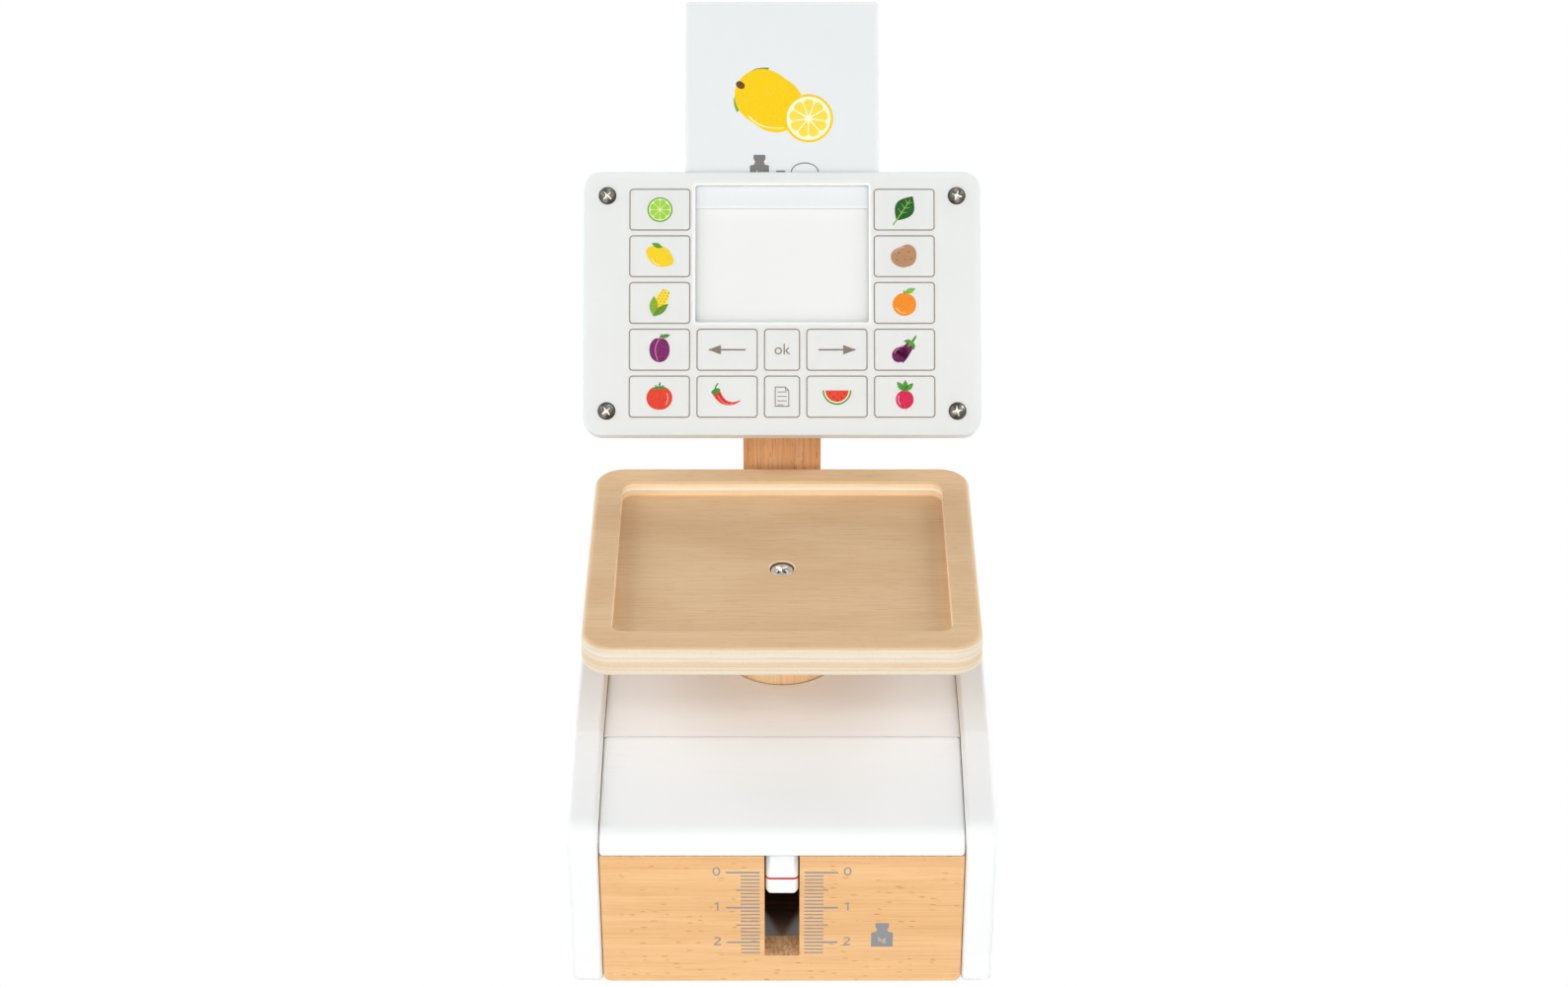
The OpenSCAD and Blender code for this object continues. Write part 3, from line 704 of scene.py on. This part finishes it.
def draw_melon(p):
    for level, (r, colour) in enumerate(((6.0, "4c9a3f"), (5.3, "f3f3cf"), (4.8, "e8452f")), 1):
        p.shape([turned((r, 0), 180 + 9 * k, (0, 2.6)) for k in range(21)], colour, level)
    for seed in ((-3.0, 1.4), (-1.4, -0.2), (0.4, 1.2), (1.9, -0.4), (3.1, 1.3), (0.2, -1.4)):
        p.oval((0.24, 0.42), "3a2618", 4, seed, steps=10)


def draw_arrow(p, way):
    p.rectangle((-7.6, -0.34), (7.6, 0.34), KEY_INK)
    p.shape([(way * 7.9, 0), (way * 2.6, 2.0), (way * 2.6, -2.0)], KEY_INK, 2)


def draw_ok(p):
    p.text("ok", 4.6, KEY_INK)


def draw_receipt(p):
    x, y, fold, edge = 3.0, 4.2, 1.6, 0.4
    outer = [(-x, -y), (x, -y), (x, y - fold), (x - fold, y), (-x, y)]
    inner = [(edge - x, edge - y), (x - edge, edge - y), (x - edge, y - fold - edge / 2)]
    inner += [(x - fold - edge / 2, y - edge), (edge - x, y - edge)]
    p.band(outer, inner, KEY_INK)
    p.line([(x - fold, y), (x - fold, y - fold), (x, y - fold)], 0.35, KEY_INK, 2)
    for up, reach in ((1.952, 1.9), (0.104, 1.9), (-1.744, 1.9), (-3.424, 0.6)):
        p.line([(-1.9, up), (reach, up)], 0.32, KEY_INK)


# Start

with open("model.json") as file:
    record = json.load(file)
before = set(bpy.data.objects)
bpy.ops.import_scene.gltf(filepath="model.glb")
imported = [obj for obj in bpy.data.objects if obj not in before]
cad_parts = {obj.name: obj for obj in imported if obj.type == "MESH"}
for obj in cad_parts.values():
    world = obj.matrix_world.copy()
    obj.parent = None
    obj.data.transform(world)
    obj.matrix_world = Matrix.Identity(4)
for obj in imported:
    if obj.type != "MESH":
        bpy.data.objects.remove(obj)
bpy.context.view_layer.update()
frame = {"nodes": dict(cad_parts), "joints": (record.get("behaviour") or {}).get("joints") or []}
scene = bpy.context.scene
nodes = frame["nodes"]

camera_data = bpy.data.cameras.new("camera")
camera_data.sensor_width = SENSOR_W
camera_data.lens = FOCAL_PX * SENSOR_W / IMAGE_W
camera_data.shift_x = (IMAGE_W / 2 - CENTRE_PX[0]) / IMAGE_W
camera_data.shift_y = (CENTRE_PX[1] - IMAGE_H / 2) / IMAGE_W
camera = bpy.data.objects.new("camera", camera_data)
camera.location = CAMERA_AT
camera.rotation_euler = (math.radians(90 - PITCH_DOWN), 0, 0)
scene.collection.objects.link(camera)
scene.camera = camera

# Key panel's own directions: up its slope, and out of its face
panel_up = Vector(next(j["axis"] for j in frame["joints"] if j["name"] == "card_slide")).normalized()
panel_out = Vector(RIGHT).cross(panel_up)
plate_low, plate_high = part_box("display_plate")
panel_origin = Vector((0, plate_low.y, plate_low.z + PLATE_T * MM * panel_out.z))
panel = Plane(panel_origin, RIGHT, panel_up)
card_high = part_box("card")[1]
card_face = panel_origin - panel_out * (PLATE_T + CARD_FACE_GAP) * MM
card_low = (card_high.z - card_face.z) / panel_up.z - CARD_H * MM
card_origin = card_face + panel_up * card_low

tray_low, tray_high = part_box("tray")

# Space inside the housing, a little larger than it is so that its walls' faces lie in it
MARGIN_IN = 0.05 * MM
base_low, base_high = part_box("base_board")
top_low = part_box("top_panel")[0]
INSIDE = (
    (base_low.x - MARGIN_IN, base_low.y - MARGIN_IN, base_high.z + MARGIN_IN),
    (base_high.x + MARGIN_IN, base_high.y + MARGIN_IN, top_low.z + MARGIN_IN),
)

front_low, front_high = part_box("front_panel")

# Joints of the painted boards: where their facing sides are, and half the width that stays bare
JOINT_HALF = 0.17 * MM
hood_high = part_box("hood")[1]
side_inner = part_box("side_right")[0].x
SIDE_JOINT_X = (hood_high.x + side_inner) / 2
TOP_JOINT_Y = (hood_high.y + top_low.y) / 2
plunger_low, plunger_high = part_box("plunger")
plunger_middle = (plunger_low + plunger_high) / 2
BORE_R = plunger_high.x + 0.6 * MM
disc_low, disc_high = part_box("tray_screw")

# Finishes

WHITE = paint("white_paint", "f4f6f7", "eceeee", bare="8f6a48")
# Painted light: a copy of the white paint, a touch bluer, which offsets the warm light that the tray throws
# on the top panel
TOP_WHITE = paint("white_paint_top", "f4f6f8", "ecedef", bare="8f6a48")
BASE = slot_floor("base_inside_painted_light", "85564a", "f4f5f5")
BOARD_WHITE = paint("white_paint_board", "eeefee", "eaebe9")
JOINT_PAINT = paint("joint_paint", "a89b84", "8f8270")
FRONT_BEECH = beech("beech_front", "f0c38e", "e7b67f", "b87a40", "X", cut=("c99c70", "efcca2"))
POST_BEECH = beech(
    "beech_post", "e4ae7e", "d29a68", "7d4a2c", "Z", fleck_share=0.42, fleck_size=(0.17, 1.5), streak=0.45
)
BEECH = beech("beech_inside", "cfa26f", "c0925f", "8a5f3a", "Z")
# Painted light: a paler beech for the plunger, to make up for the tray's shade on it
PLUNGER_BEECH_LIGHTENED = beech("beech_plunger_painted_light", "ffdcae", "fdcf9c", "c48d58", "Z")
PLIES = [
    (0.9, "e0c5a0"), (0.2, "d6bc97"), (1.8, "e5d6bf"), (1.9, "e9dccd"),
    (0.2, "d9c2a1"), (1.8, "e6d8c3"), (1.9, "e1c9aa"), (0.2, "d6bc97"),
    (1.7, "e5d1b8"), (0.2, "d9c2a1"), (1.2, "e7dac7"), (2.0, "e3d7c3"),
]
INNER_PLIES = [
    (0.9, "eacfa8"), (0.2, "dcb684"), (1.9, "fae4c2"), (1.5, "fdf5e4"),
    (0.2, "eccb9c"), (1.9, "f7dcb6"), (7.4, "edd4b0"),
]
RIM_IN = 6 * MM
PLY = plywood(
    "plywood_tray",
    tray_high.z,
    PLIES,
    "e0c19b",
    "cca578",
    "bf9566",
    recess=(tray_high.x - RIM_IN, tray_low.y + RIM_IN, tray_high.y - RIM_IN, INNER_PLIES),
    screw_shadow=(plunger_middle.y, disc_high.x + 0.4 * MM),
)
FROST = frosted("frosted_sheet")
ZINC = metal("zinc_screw", "d6d2cc", "b5b0a8")
DISC = metal("zinc_disc", "d9d4cd", "c2bcb3", 0.3, mesh_painted_light=True)
DARK_STEEL = metal("dark_screw", "a5a199", "8b877e", 0.24, mesh_painted_light=True)
SPRING_STEEL = metal("spring_wire", "8f8f8c", "55534f", 0.35)
CARD = card_stock("card_board")
INKS = inks("print_inks")

FINISHES = {
    WHITE: ["side_left", "side_right", "hood", "back_panel"],
    BASE: ["base_board"],
    TOP_WHITE: ["top_panel"],
    BOARD_WHITE: ["display_board"],
    FRONT_BEECH: ["front_panel"],
    POST_BEECH: ["post"],
    PLUNGER_BEECH_LIGHTENED: ["plunger"],
    BEECH: ["stop_collar", "cleat_left", "cleat_right", "spring_seat", "spring_cap", "pointer_dowel"],
    PLY: ["tray", "pointer_arm"],
    ZINC: ["board_screws", "arm_screws"],
    CARD: ["card"],
}
for material, names in FINISHES.items():
    for name in names:
        nodes[name].data.materials.clear()
        nodes[name].data.materials.append(material)

# Edges of the CAD nodes

WELD_GAP = 0.002 * MM
BEVEL_STEPS = 3
BEVEL_ANGLE = 35


def soften(name, width):
    """Joins a node's faces, rounds its sharp edges and shades it smoothly, without moving its points."""
    piece = nodes[name]
    attributes = piece.data.attributes
    for attribute in ("custom_normal", "sharp_edge", "sharp_face"):
        if attribute in attributes:
            attributes.remove(attributes[attribute])
    piece.modifiers.new("join", "WELD").merge_threshold = WELD_GAP
    if width:
        bevel = piece.modifiers.new("edge", "BEVEL")
        bevel.width = width * MM
        bevel.segments = BEVEL_STEPS
        bevel.limit_method = "ANGLE"
        bevel.angle_limit = math.radians(BEVEL_ANGLE)
        bevel.use_clamp_overlap = True
    shade_evenly(piece)


SOFTENED = {
    "side_left": 0,
    "side_right": 0,
    "hood": 0.25,
    "front_panel": 0.4,
    "top_panel": 0.3,
    "base_board": 0.3,
    "post": 0.5,
    "card": 0.12,
    "tray": 0.6,
    "plunger": 0.5,
}
for name, width in SOFTENED.items():
    soften(name, width)

# Paint that fills the joints between the side panels and the boards between them


def joint_strips(name):
    """Both ends of a board as thin slices that fill the gap to the side panels."""
    mesh = bmesh.new()
    mesh.from_mesh(nodes[name].data)
    ends = [face for face in mesh.faces if abs(face.calc_center_median().x) > hood_high.x - MARGIN_IN]
    bmesh.ops.delete(mesh, geom=[face for face in mesh.faces if face not in ends], context="FACES")
    bmesh.ops.remove_doubles(mesh, verts=mesh.verts, dist=WELD_GAP)
    grown = bmesh.ops.extrude_face_region(mesh, geom=mesh.faces[:])
    for item in grown["geom"]:
        if isinstance(item, bmesh.types.BMVert):
            item.co.x = math.copysign(side_inner, item.co.x)
    bmesh.ops.recalc_face_normals(mesh, faces=mesh.faces)
    return mesh


for name in ("hood", "top_panel"):
    add_piece(name + "_joints", joint_strips(name), "housing", JOINT_PAINT)

# Pointer block, with round upright edges and a round lower end, which is rounded less at the front

POINTER_R = 1.9
FRONT_SHARE = 0.2
pointer_low, pointer_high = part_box("pointer")
pointer_half = pointer_high.x / MM
pointer_y = pointer_low.y / MM


def pointer_mesh(steps=8):
    """The block as outlines one above the other, from the middle of its lower end upwards."""
    w, depth = 2 * pointer_half, (pointer_high.y - pointer_low.y) / MM
    angles = [90 * k / steps for k in range(steps + 1)]
    levels = [(POINTER_R * (1 - sin_deg(a)), POINTER_R * (1 - cos_deg(a))) for a in angles]
    levels.append((0, (pointer_high.z - pointer_low.z) / MM))
    mesh = bmesh.new()
    rows = []
    for inset, up in levels:
        r = max(POINTER_R - inset, 0.02)
        front = FRONT_SHARE * inset
        outline = round_rect_points(w - 2 * inset, depth - 2 * front, r, (inset - w / 2, front + pointer_y))
        rows.append([mesh.verts.new((x * MM, y * MM, pointer_low.z + up * MM)) for x, y in outline])
    skin(mesh, rows)
    mesh.faces.new(rows[0][::-1])
    mesh.faces.new(rows[-1])
    return mesh


block = add_piece("pointer_block", pointer_mesh(), "weigher", WHITE, "pointer", True)
shade_evenly(block)

# Prints on the front panel: where zero is, the way for one kilogram and the lines for each tenth of it

ZERO_Z = 56.55
KILO = 17.47
TICKS = 23
TICK_START = 8.6
TICK_ENDS = {0: 21.7, 5: 17.9}
TICK_END = 16.05
TICK_HALF = 0.31
WHOLE_TICK_HALF = 0.4
DIGIT_X = 25.3
DIGIT_UP = 0.6
SIGN_AT = (39.05, 19.4)
SIGN_W = 8.5
scale_print = Print("scale_print", "housing", "beech", (0, front_low.y, 0), RIGHT, UP)
for side in (-1, 1):
    for k in range(TICKS + 1):
        half = WHOLE_TICK_HALF if k % 10 == 0 else TICK_HALF
        low, high = sorted((side * TICK_START, side * TICK_ENDS.get(k % 10, TICK_END)))
        scale_print.at = (0, ZERO_Z - KILO * k / 10)
        scale_print.rectangle((low, -half), (high, half), GREY_INK)
    for k in range(3):
        scale_print.at = (side * DIGIT_X, ZERO_Z - KILO * k + DIGIT_UP)
        draw_digit(scale_print, k)
scale_print.at = SIGN_AT
draw_weight(scale_print, SIGN_W, GREY_INK, "d8c4a4")
scale_print.done()

# Red line round the pointer's front, which runs this far back on its sides
RED_Z = 53.1
RED_W = 1.0
RED_BACK = 6


def pointer_path(out):
    """The pointer's front and half of each side, seen from above, moved outwards."""
    path = [(-pointer_half - out, pointer_y + RED_BACK)]
    for side, start in ((-1, 180), (1, 270)):
        corner = (side * (pointer_half - POINTER_R), pointer_y + POINTER_R)
        path += [turned((POINTER_R + out, 0), start + 15 * k, corner) for k in range(7)]
    return path + [(pointer_half + out, pointer_y + RED_BACK)]


pointer_line = Print("pointer_line", "weigher", "white_paint", (0, 0, (RED_Z - RED_W / 2) * MM), RIGHT, BACK)
pointer_line.shape(pointer_path(INK) + pointer_path(0)[::-1], "c81f2c", height=RED_W)
pointer_line.done()

# Frosted plate of the key panel: its sizes, its round edges, and how clear its face and its edge are
plate_w = (plate_high.x - plate_low.x) / MM
PLATE_H = 110
PLATE_R = 7.5
PLATE_EDGE = 0.45
WINDOW_W = 72
WINDOW_H = 57.5
WINDOW_LOW = 47
WINDOW_R = 1
WINDOW_EDGE = 0.3
FACE_CLEAR = 0.32
EDGE_CLEAR = 0.3


def quarter(radius, steps=4):
    """A round edge from the plate's side to its face: how far in and how high each step is."""
    angles = [90 * k / steps for k in range(steps + 1)]
    return [(radius - radius * cos_deg(a), PLATE_T - radius + radius * sin_deg(a)) for a in angles]


def plate_mesh():
    """The plate as rings from its back, round its outer edge, over its face and through its window."""
    rings = []
    # Rim is the share of painted edge light in the colour: full at the outer edge, none 2.8 mm in and in the
    # window
    outer = [(0, 0, 1.0)] + [(*step, 1.0) for step in quarter(PLATE_EDGE)]
    for inset, z, rim in outer + [(1.6, PLATE_T, 0.8), (2.8, PLATE_T, 0.0)]:
        clear = FACE_CLEAR + (EDGE_CLEAR - FACE_CLEAR) * rim
        rings.append((plate_w - 2 * inset, PLATE_H - 2 * inset, PLATE_R - inset, inset, z, rim, clear))
    window = [(*step, 0.0) for step in quarter(WINDOW_EDGE)[::-1]] + [(0, 0, 0.0)]
    for out, z, clear in [(1.5, PLATE_T, FACE_CLEAR)] + window:
        low = WINDOW_LOW - out
        rings.append((WINDOW_W + 2 * out, WINDOW_H + 2 * out, WINDOW_R + out, low, z, 0.0, clear))
    mesh = bmesh.new()
    edge_light_layer = mesh.verts.layers.float.new("rim")
    clear_layer = mesh.verts.layers.float.new("clear")
    made = []
    for w, h, r, low, z, rim, clear in rings:
        outline = round_rect_points(w, h, max(r, 0.05), (-w / 2, low))
        ring = [mesh.verts.new(panel.place(x, y, z - PLATE_T)) for x, y in outline]
        for vertex in ring:
            vertex[edge_light_layer] = rim
            vertex[clear_layer] = clear
        made.append(ring)
    skin(mesh, made, closed=True)
    return mesh


plate = add_piece("frosted_plate", plate_mesh(), "housing", FROST, "display_plate", True)
shade_evenly(plate)

# Screw heads that are seen, each a finely stepped surface over a plain shank, with painted highlights and
# shade in its colour

SCREW_RINGS = 36
SCREW_SECTORS = 72
PAN_R = 3.7
PAN_H = 2.3
PAN_ARM_R = 2.5
PAN_ARM_HALF = 0.64
FLAT_R = disc_high.x / MM
FLAT_ARM_R = 3.0
FLAT_ARM_HALF = 1.0
FLAT_ARM_DEPTH = 1.1


def rise(value, width):
    """From zero to one as a value grows from zero to a width."""
    return min(max(value / width, 0), 1)


def pan_head(x, y):
    """A domed head with a cross: its height over the sheet, and its painted light: a dark rim, highlight
    arcs, a highlight in the cross and shade on its walls.
    """
    r = math.hypot(x, y)
    dome = PAN_H * (1 - (r / PAN_R) ** 2.6)
    half = PAN_ARM_HALF - 0.08 * r
    inside = rise(half - min(abs(x), abs(y)), 0.16) * rise(PAN_ARM_R - r, 0.25)
    floor = 0.7 + 0.5 * r / PAN_ARM_R
    height = dome + (min(floor, dome) - dome) * inside
    # Painted highlights in two arcs on the dome, and painted shade round its rim
    arc = max(0, math.cos(2 * math.atan2(y, x) - 0.8)) ** 2
    tone_and_painted_light = 0.2 if r > 0.86 * PAN_R else 0.32 + 0.6 * arc
    # Painted highlight in part of the cross, and painted shade on the cross's walls
    if inside > 0:
        lit = 2.6 if x + 0.4 * y < 0.2 else 1.1
        tone_and_painted_light = lit if inside > 0.9 else 0.1
    return height, tone_and_painted_light


def flat_head(x, y):
    """A flat head with a cross turned by an eighth: the near arms are painted dark as shade, and the far left
    one carries a painted highlight.
    """
    r = math.hypot(x, y)
    arm = min(abs(x + y), abs(x - y)) / math.sqrt(2)
    half = FLAT_ARM_HALF - 0.14 * r
    inside = rise(half - arm, 0.2) * rise(FLAT_ARM_R - r, 0.3)
    rim = max(r - 0.9 * FLAT_R, 0) * 0.5
    tone_and_painted_light = 1.0
    # Painted shade in the near arms of the cross, a painted highlight in the far left one
    if inside > 0.4:
        tone_and_painted_light = 0.02 if y < 0.3 else 2.2 if x < 0 else 0.3
    return -rim - FLAT_ARM_DEPTH * inside, tone_and_painted_light


class Screws(Plane):
    """Screws of one kind on a plane. Steps are radius and height of each ring below the head. Each point also
    carries the painted light of its head.
    """

    def __init__(self, head, radius, steps, *plane):
        super().__init__(*plane)
        self.head, self.radius, self.steps = head, radius, steps
        self.mesh = bmesh.new()
        self.tone_and_painted_light = self.mesh.verts.layers.float_color.new("tone_and_painted_light")

    def vertex(self, x, y, z, tone_and_painted_light):
        v = self.mesh.verts.new(self.place(x, y, z))
        v[self.tone_and_painted_light] = (tone_and_painted_light, tone_and_painted_light, tone_and_painted_light, 1)
        return v

    def add(self, at, turn=0):
        """One screw with its head turned."""
        rows = []
        for i in range(1, SCREW_RINGS + 1):
            r = self.radius * i / SCREW_RINGS
            points = ring_points((r, r), steps=SCREW_SECTORS)
            rows.append([self.vertex(*turned(p, turn, at), *self.head(*p)) for p in points])
        for r, z in self.steps:
            rows.append([self.vertex(*p, z, 0.5) for p in ring_points((r, r), 0, SCREW_SECTORS, at)])
        middle = self.vertex(*at, *self.head(0, 0))
        for k in range(SCREW_SECTORS):
            j = (k + 1) % SCREW_SECTORS
            self.mesh.faces.new((middle, rows[0][k], rows[0][j]))
            for one, two in zip(rows, rows[1:]):
                self.mesh.faces.new((one[k], two[k], two[j], one[j]))
        self.mesh.faces.new(rows[-1][::-1])

    def done(self, name, node, body, material):
        add_piece(name, self.mesh, body, material, node, smooth=True)


def flat_screws(radius, shank_r, length, *plane):
    """Countersunk screws, with a cone between head and shank."""
    return Screws(flat_head, radius, [(shank_r, shank_r - radius), (shank_r, -length)], *plane)


PAN_INSET = 10
PAN_TURNS = [38, 12, 45, 72]
PAN_SHANK_R = 1.75
PAN_SHANK_L = 11
pan_x = plate_w / 2 - PAN_INSET
pan_places = [(x, y) for y in (PAN_INSET, PLATE_H - PAN_INSET) for x in (-pan_x, pan_x)]
pan_steps = [(PAN_SHANK_R, 0), (PAN_SHANK_R, -PAN_SHANK_L)]
plate_screws = Screws(pan_head, PAN_R, pan_steps, panel_origin, RIGHT, panel_up)
for place, turn in zip(pan_places, PAN_TURNS):
    plate_screws.add(place, turn)
plate_screws.done("plate_screws", "display_screws", "housing", DARK_STEEL)

FLAT_SHANK_R = 2.5
disc_l = (disc_high.z - disc_low.z) / MM
tray_screw = flat_screws(FLAT_R, FLAT_SHANK_R, disc_l, (0, plunger_middle.y, disc_high.z), RIGHT, BACK)
tray_screw.add((0, 0))
tray_screw.done("tray_screw_head", "tray_screw", "weigher", DISC)

# Screws in the back panel, seen from behind: right is -X there
back_low, back_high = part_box("post_screws")
BACK_SHANK_R = 2
back_r = back_high.x / MM
back_l = (back_high.y - back_low.y) / MM
back_screws = flat_screws(back_r, BACK_SHANK_R, back_l, (0, back_high.y, 0), (-1, 0, 0), UP)
for z, turn in ((back_low.z / MM + back_r, 30), (back_high.z / MM - back_r, 74)):
    back_screws.add((0, z), turn)
back_screws.done("back_screw_heads", "post_screws", "housing", DISC)

# Prints on the key panel

KEY_LINE_W = 0.5
KEY_R = 1.6
KEY_H = 17.6
KEY_W = 25.4
OK_KEY_W = 15
OUTER_KEY_X = 38
ARROW_KEY_X = 10
KEY_LOW = 7.15
KEY_PITCH = 19.55

keys = Print("key_print", "housing", "frosted_plate", panel_origin, RIGHT, panel_up)


def draw_key(x, row, w, draw, *details):
    """The frame of a key from its left side, and the sign in its middle. Rows count from the top."""
    low = KEY_LOW + KEY_PITCH * (4 - row)
    line = KEY_LINE_W
    inner = round_rect_points(w - 2 * line, KEY_H - 2 * line, KEY_R - line, (line, line))
    keys.at = (x, low)
    keys.band(round_rect_points(w, KEY_H, KEY_R), inner, KEY_LINE)
    keys.at = (x + w / 2, low + KEY_H / 2)
    draw(keys, *details)


LEFT_PICTURES = [draw_lime, draw_lemon, draw_corn, draw_plum, draw_tomato]
RIGHT_PICTURES = [draw_spinach, draw_potato, draw_orange, draw_aubergine, draw_radish]
for row in range(5):
    draw_key(-OUTER_KEY_X - KEY_W, row, KEY_W, LEFT_PICTURES[row])
    draw_key(OUTER_KEY_X, row, KEY_W, RIGHT_PICTURES[row])
draw_key(-ARROW_KEY_X - KEY_W, 3, KEY_W, draw_arrow, -1)
draw_key(-OK_KEY_W / 2, 3, OK_KEY_W, draw_ok)
draw_key(ARROW_KEY_X, 3, KEY_W, draw_arrow, 1)
draw_key(-ARROW_KEY_X - KEY_W, 4, KEY_W, draw_chilli)
draw_key(-OK_KEY_W / 2, 4, OK_KEY_W, draw_receipt)
draw_key(ARROW_KEY_X, 4, KEY_W, draw_melon)
keys.done()

# Print on the card: a field in one colour, a picture over it, and below a weight, a dash and a ring

CARD_W = 80.5
CARD_MARGIN = 1.1
FIELD_R = 1.4
PICTURE_AT = (0.6, 42.5)
WEIGHT_AT = (-9.4, 11.4)
WEIGHT_W = 8.0
DASH_AT = (-0.6, 15.6)
RING_AT = (9.5, 15.25)
card_print = Print("card_print", "card", "card", card_origin, RIGHT, panel_up)
field_at = (CARD_MARGIN - CARD_W / 2, CARD_MARGIN)
field = round_rect_points(CARD_W - 2 * CARD_MARGIN, CARD_H - 2 * CARD_MARGIN, FIELD_R, field_at)
card_print.shape(field, "e6eaeb")


def draw_lemons(p):
    """A whole lemon with two leaves, and half of one in front of it."""
    p.leaf((-17.0, 9.0), (-6.0, 17.0), 0.24, "5d8f2b", 2)
    p.leaf((-17.0, 9.0), (-19.5, -2.0), 0.22, "79a83a", 2)
    p.shape(polar_points(lambda a: 11.5 + 3.6 * abs(cos_deg(a)) ** 1.5, 72, (-6, 3), 55), "f7cd08", 3)
    p.oval((1.5, 2.0), "6b4425", 4, (-18.0, 9.6), 55, 20)
    p.curve((-14.5, -3.5), (-10.0, -9.5), (0.5, -8.5), 0.8, "fff2a2", 4, 0.4)
    half = (10.5, -4.5)
    p.oval((10.2, 10.2), "f7cd08", 5, half, steps=48)
    p.oval((9.2, 9.2), "fff8d6", 6, half, steps=48)
    wedge = [(1.0, 0), (6.6, -2.2), (7.7, -1.5), (8.1, 0), (7.7, 1.5), (6.6, 2.2)]
    for k in range(9):
        p.shape([turned(point, 40 * k + 10, half) for point in wedge], "f9dc4a", 7)


card_print.at = PICTURE_AT
draw_lemons(card_print)
card_print.at = WEIGHT_AT
draw_weight(card_print, WEIGHT_W, ICON_GREY, "eef0f1")
card_print.at = DASH_AT
card_print.rectangle((-1.9, -0.4), (1.9, 0.4), ICON_GREY, 2)
card_print.at = RING_AT
card_print.band(ring_points((5.85, 4.15), steps=48), ring_points((5.35, 3.65), steps=48), ICON_GREY, 2)
card_print.done()

# Spring, whose first and last turn rise by this much only

CLOSE = 2.1 * MM


def spring_mesh(low_z, high_z, centre_y, sides=12, rings_per_turn=48):
    """A wire round a helix, close at both ends, whose ends are ground flat."""
    low, high = low_z + WIRE_R * MM, high_z - WIRE_R * MM

    def height(turn):
        if turn < 1:
            return low + CLOSE * turn
        if turn > SPRING_TURNS - 1:
            return high - CLOSE * (SPRING_TURNS - turn)
        return low + CLOSE + (high - low - 2 * CLOSE) * (turn - 1) / (SPRING_TURNS - 2)

    mesh = bmesh.new()
    rings = []
    for i in range(int(SPRING_TURNS * rings_per_turn) + 1):
        turn = i / rings_per_turn
        ring = []
        for x, z in ring_points((WIRE_R, WIRE_R), steps=sides):
            place = turned(((SPRING_R + x) * MM, 0), 360 * turn, (0, centre_y))
            ring.append(mesh.verts.new((*place, min(max(height(turn) + z * MM, low_z), high_z))))
        rings.append(ring)
    skin(mesh, rings)
    mesh.faces.new(rings[0][::-1])
    mesh.faces.new(rings[-1])
    bmesh.ops.recalc_face_normals(mesh, faces=mesh.faces)
    return mesh


spring_low, spring_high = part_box("spring")
wire = spring_mesh(spring_low.z, spring_high.z, (spring_low.y + spring_high.y) / 2)
spring = add_piece("spring_wire", wire, "housing", SPRING_STEEL, "spring", smooth=True)
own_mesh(spring)

# Floor, light

FLOOR_HALF = 3.0
AMBIENT = 0.12


def seen_directly(tree):
    """One for a ray from the camera, a gloss or a clear sheet, and otherwise zero."""
    rays = tree.add("ShaderNodeLightPath").outputs
    return tree.largest(rays["Is Camera Ray"], rays["Is Glossy Ray"], rays["Is Transmission Ray"])


def stage_material(name):
    """A pale floor for the light that falls on it, which the camera, gloss and glass see as plain white."""
    material = bpy.data.materials.new(name)
    material.use_nodes = True
    material.node_tree.nodes.clear()
    tree = Nodes(material.node_tree)
    pale = tree.add("ShaderNodeBsdfDiffuse", {"Color": (0.86, 0.86, 0.86, 1)}).outputs[0]
    glow = tree.add("ShaderNodeEmission", {"Strength": 1.0}).outputs[0]
    mixed = tree.add("ShaderNodeMixShader", {0: seen_directly(tree), 1: pale, 2: glow}).outputs[0]
    tree.add("ShaderNodeOutputMaterial", {0: mixed})
    return material


floor_mesh = bpy.data.meshes.new("floor")
floor_corners = [(x * FLOOR_HALF, y * FLOOR_HALF, 0) for x, y in ((-1, -1), (1, -1), (1, 1), (-1, 1))]
floor_mesh.from_pydata(floor_corners, [], [(0, 1, 2, 3)])
floor = bpy.data.objects.new("floor", floor_mesh)
floor.data.materials.append(stage_material("floor"))
scene.collection.objects.link(floor)

world = bpy.data.worlds.new("studio")
scene.world = world
world.use_nodes = True
background = world.node_tree.nodes["Background"]
background.inputs["Color"].default_value = (1, 1, 1, 1)
sky = Nodes(world.node_tree)
sky.feed(background.inputs["Strength"], sky.largest(seen_directly(sky), AMBIENT))

# Pairs of lamps: degrees to each side of straight ahead and up from level, size, watts on the left and right
AIM = Vector((0, 0, 0.1))
LAMP_FAR = 1.9
SMALL = (0.25, 0.5)
LARGE = (1.1, 1.3)
LAMPS = {
    "front": (21, 22, LARGE, 9.6, 8.7),
    "side": (70, 36, LARGE, 8.4, 7.7),
    "back": (125, 22, LARGE, 18.4, 17.3),
    "key": (22, 50, SMALL, 3.2, 2.8),
}


def add_lamp(name, azimuth, elevation, size, watts):
    """A soft lamp that is aimed at the object."""
    data = bpy.data.lights.new(name, "AREA")
    data.shape = "RECTANGLE"
    data.size, data.size_y = size
    data.energy = watts
    level = cos_deg(elevation)
    place = Vector((level * sin_deg(azimuth), -level * cos_deg(azimuth), sin_deg(elevation))) * LAMP_FAR
    lamp = bpy.data.objects.new(name, data)
    lamp.location = place
    lamp.rotation_euler = (AIM - place).to_track_quat("-Z", "Y").to_euler()
    scene.collection.objects.link(lamp)


for name, (aside, elevation, size, left, right) in LAMPS.items():
    add_lamp(name + "_left", -aside, elevation, size, left)
    add_lamp(name + "_right", aside, elevation, size, right)

scene.view_settings.view_transform = "Standard"
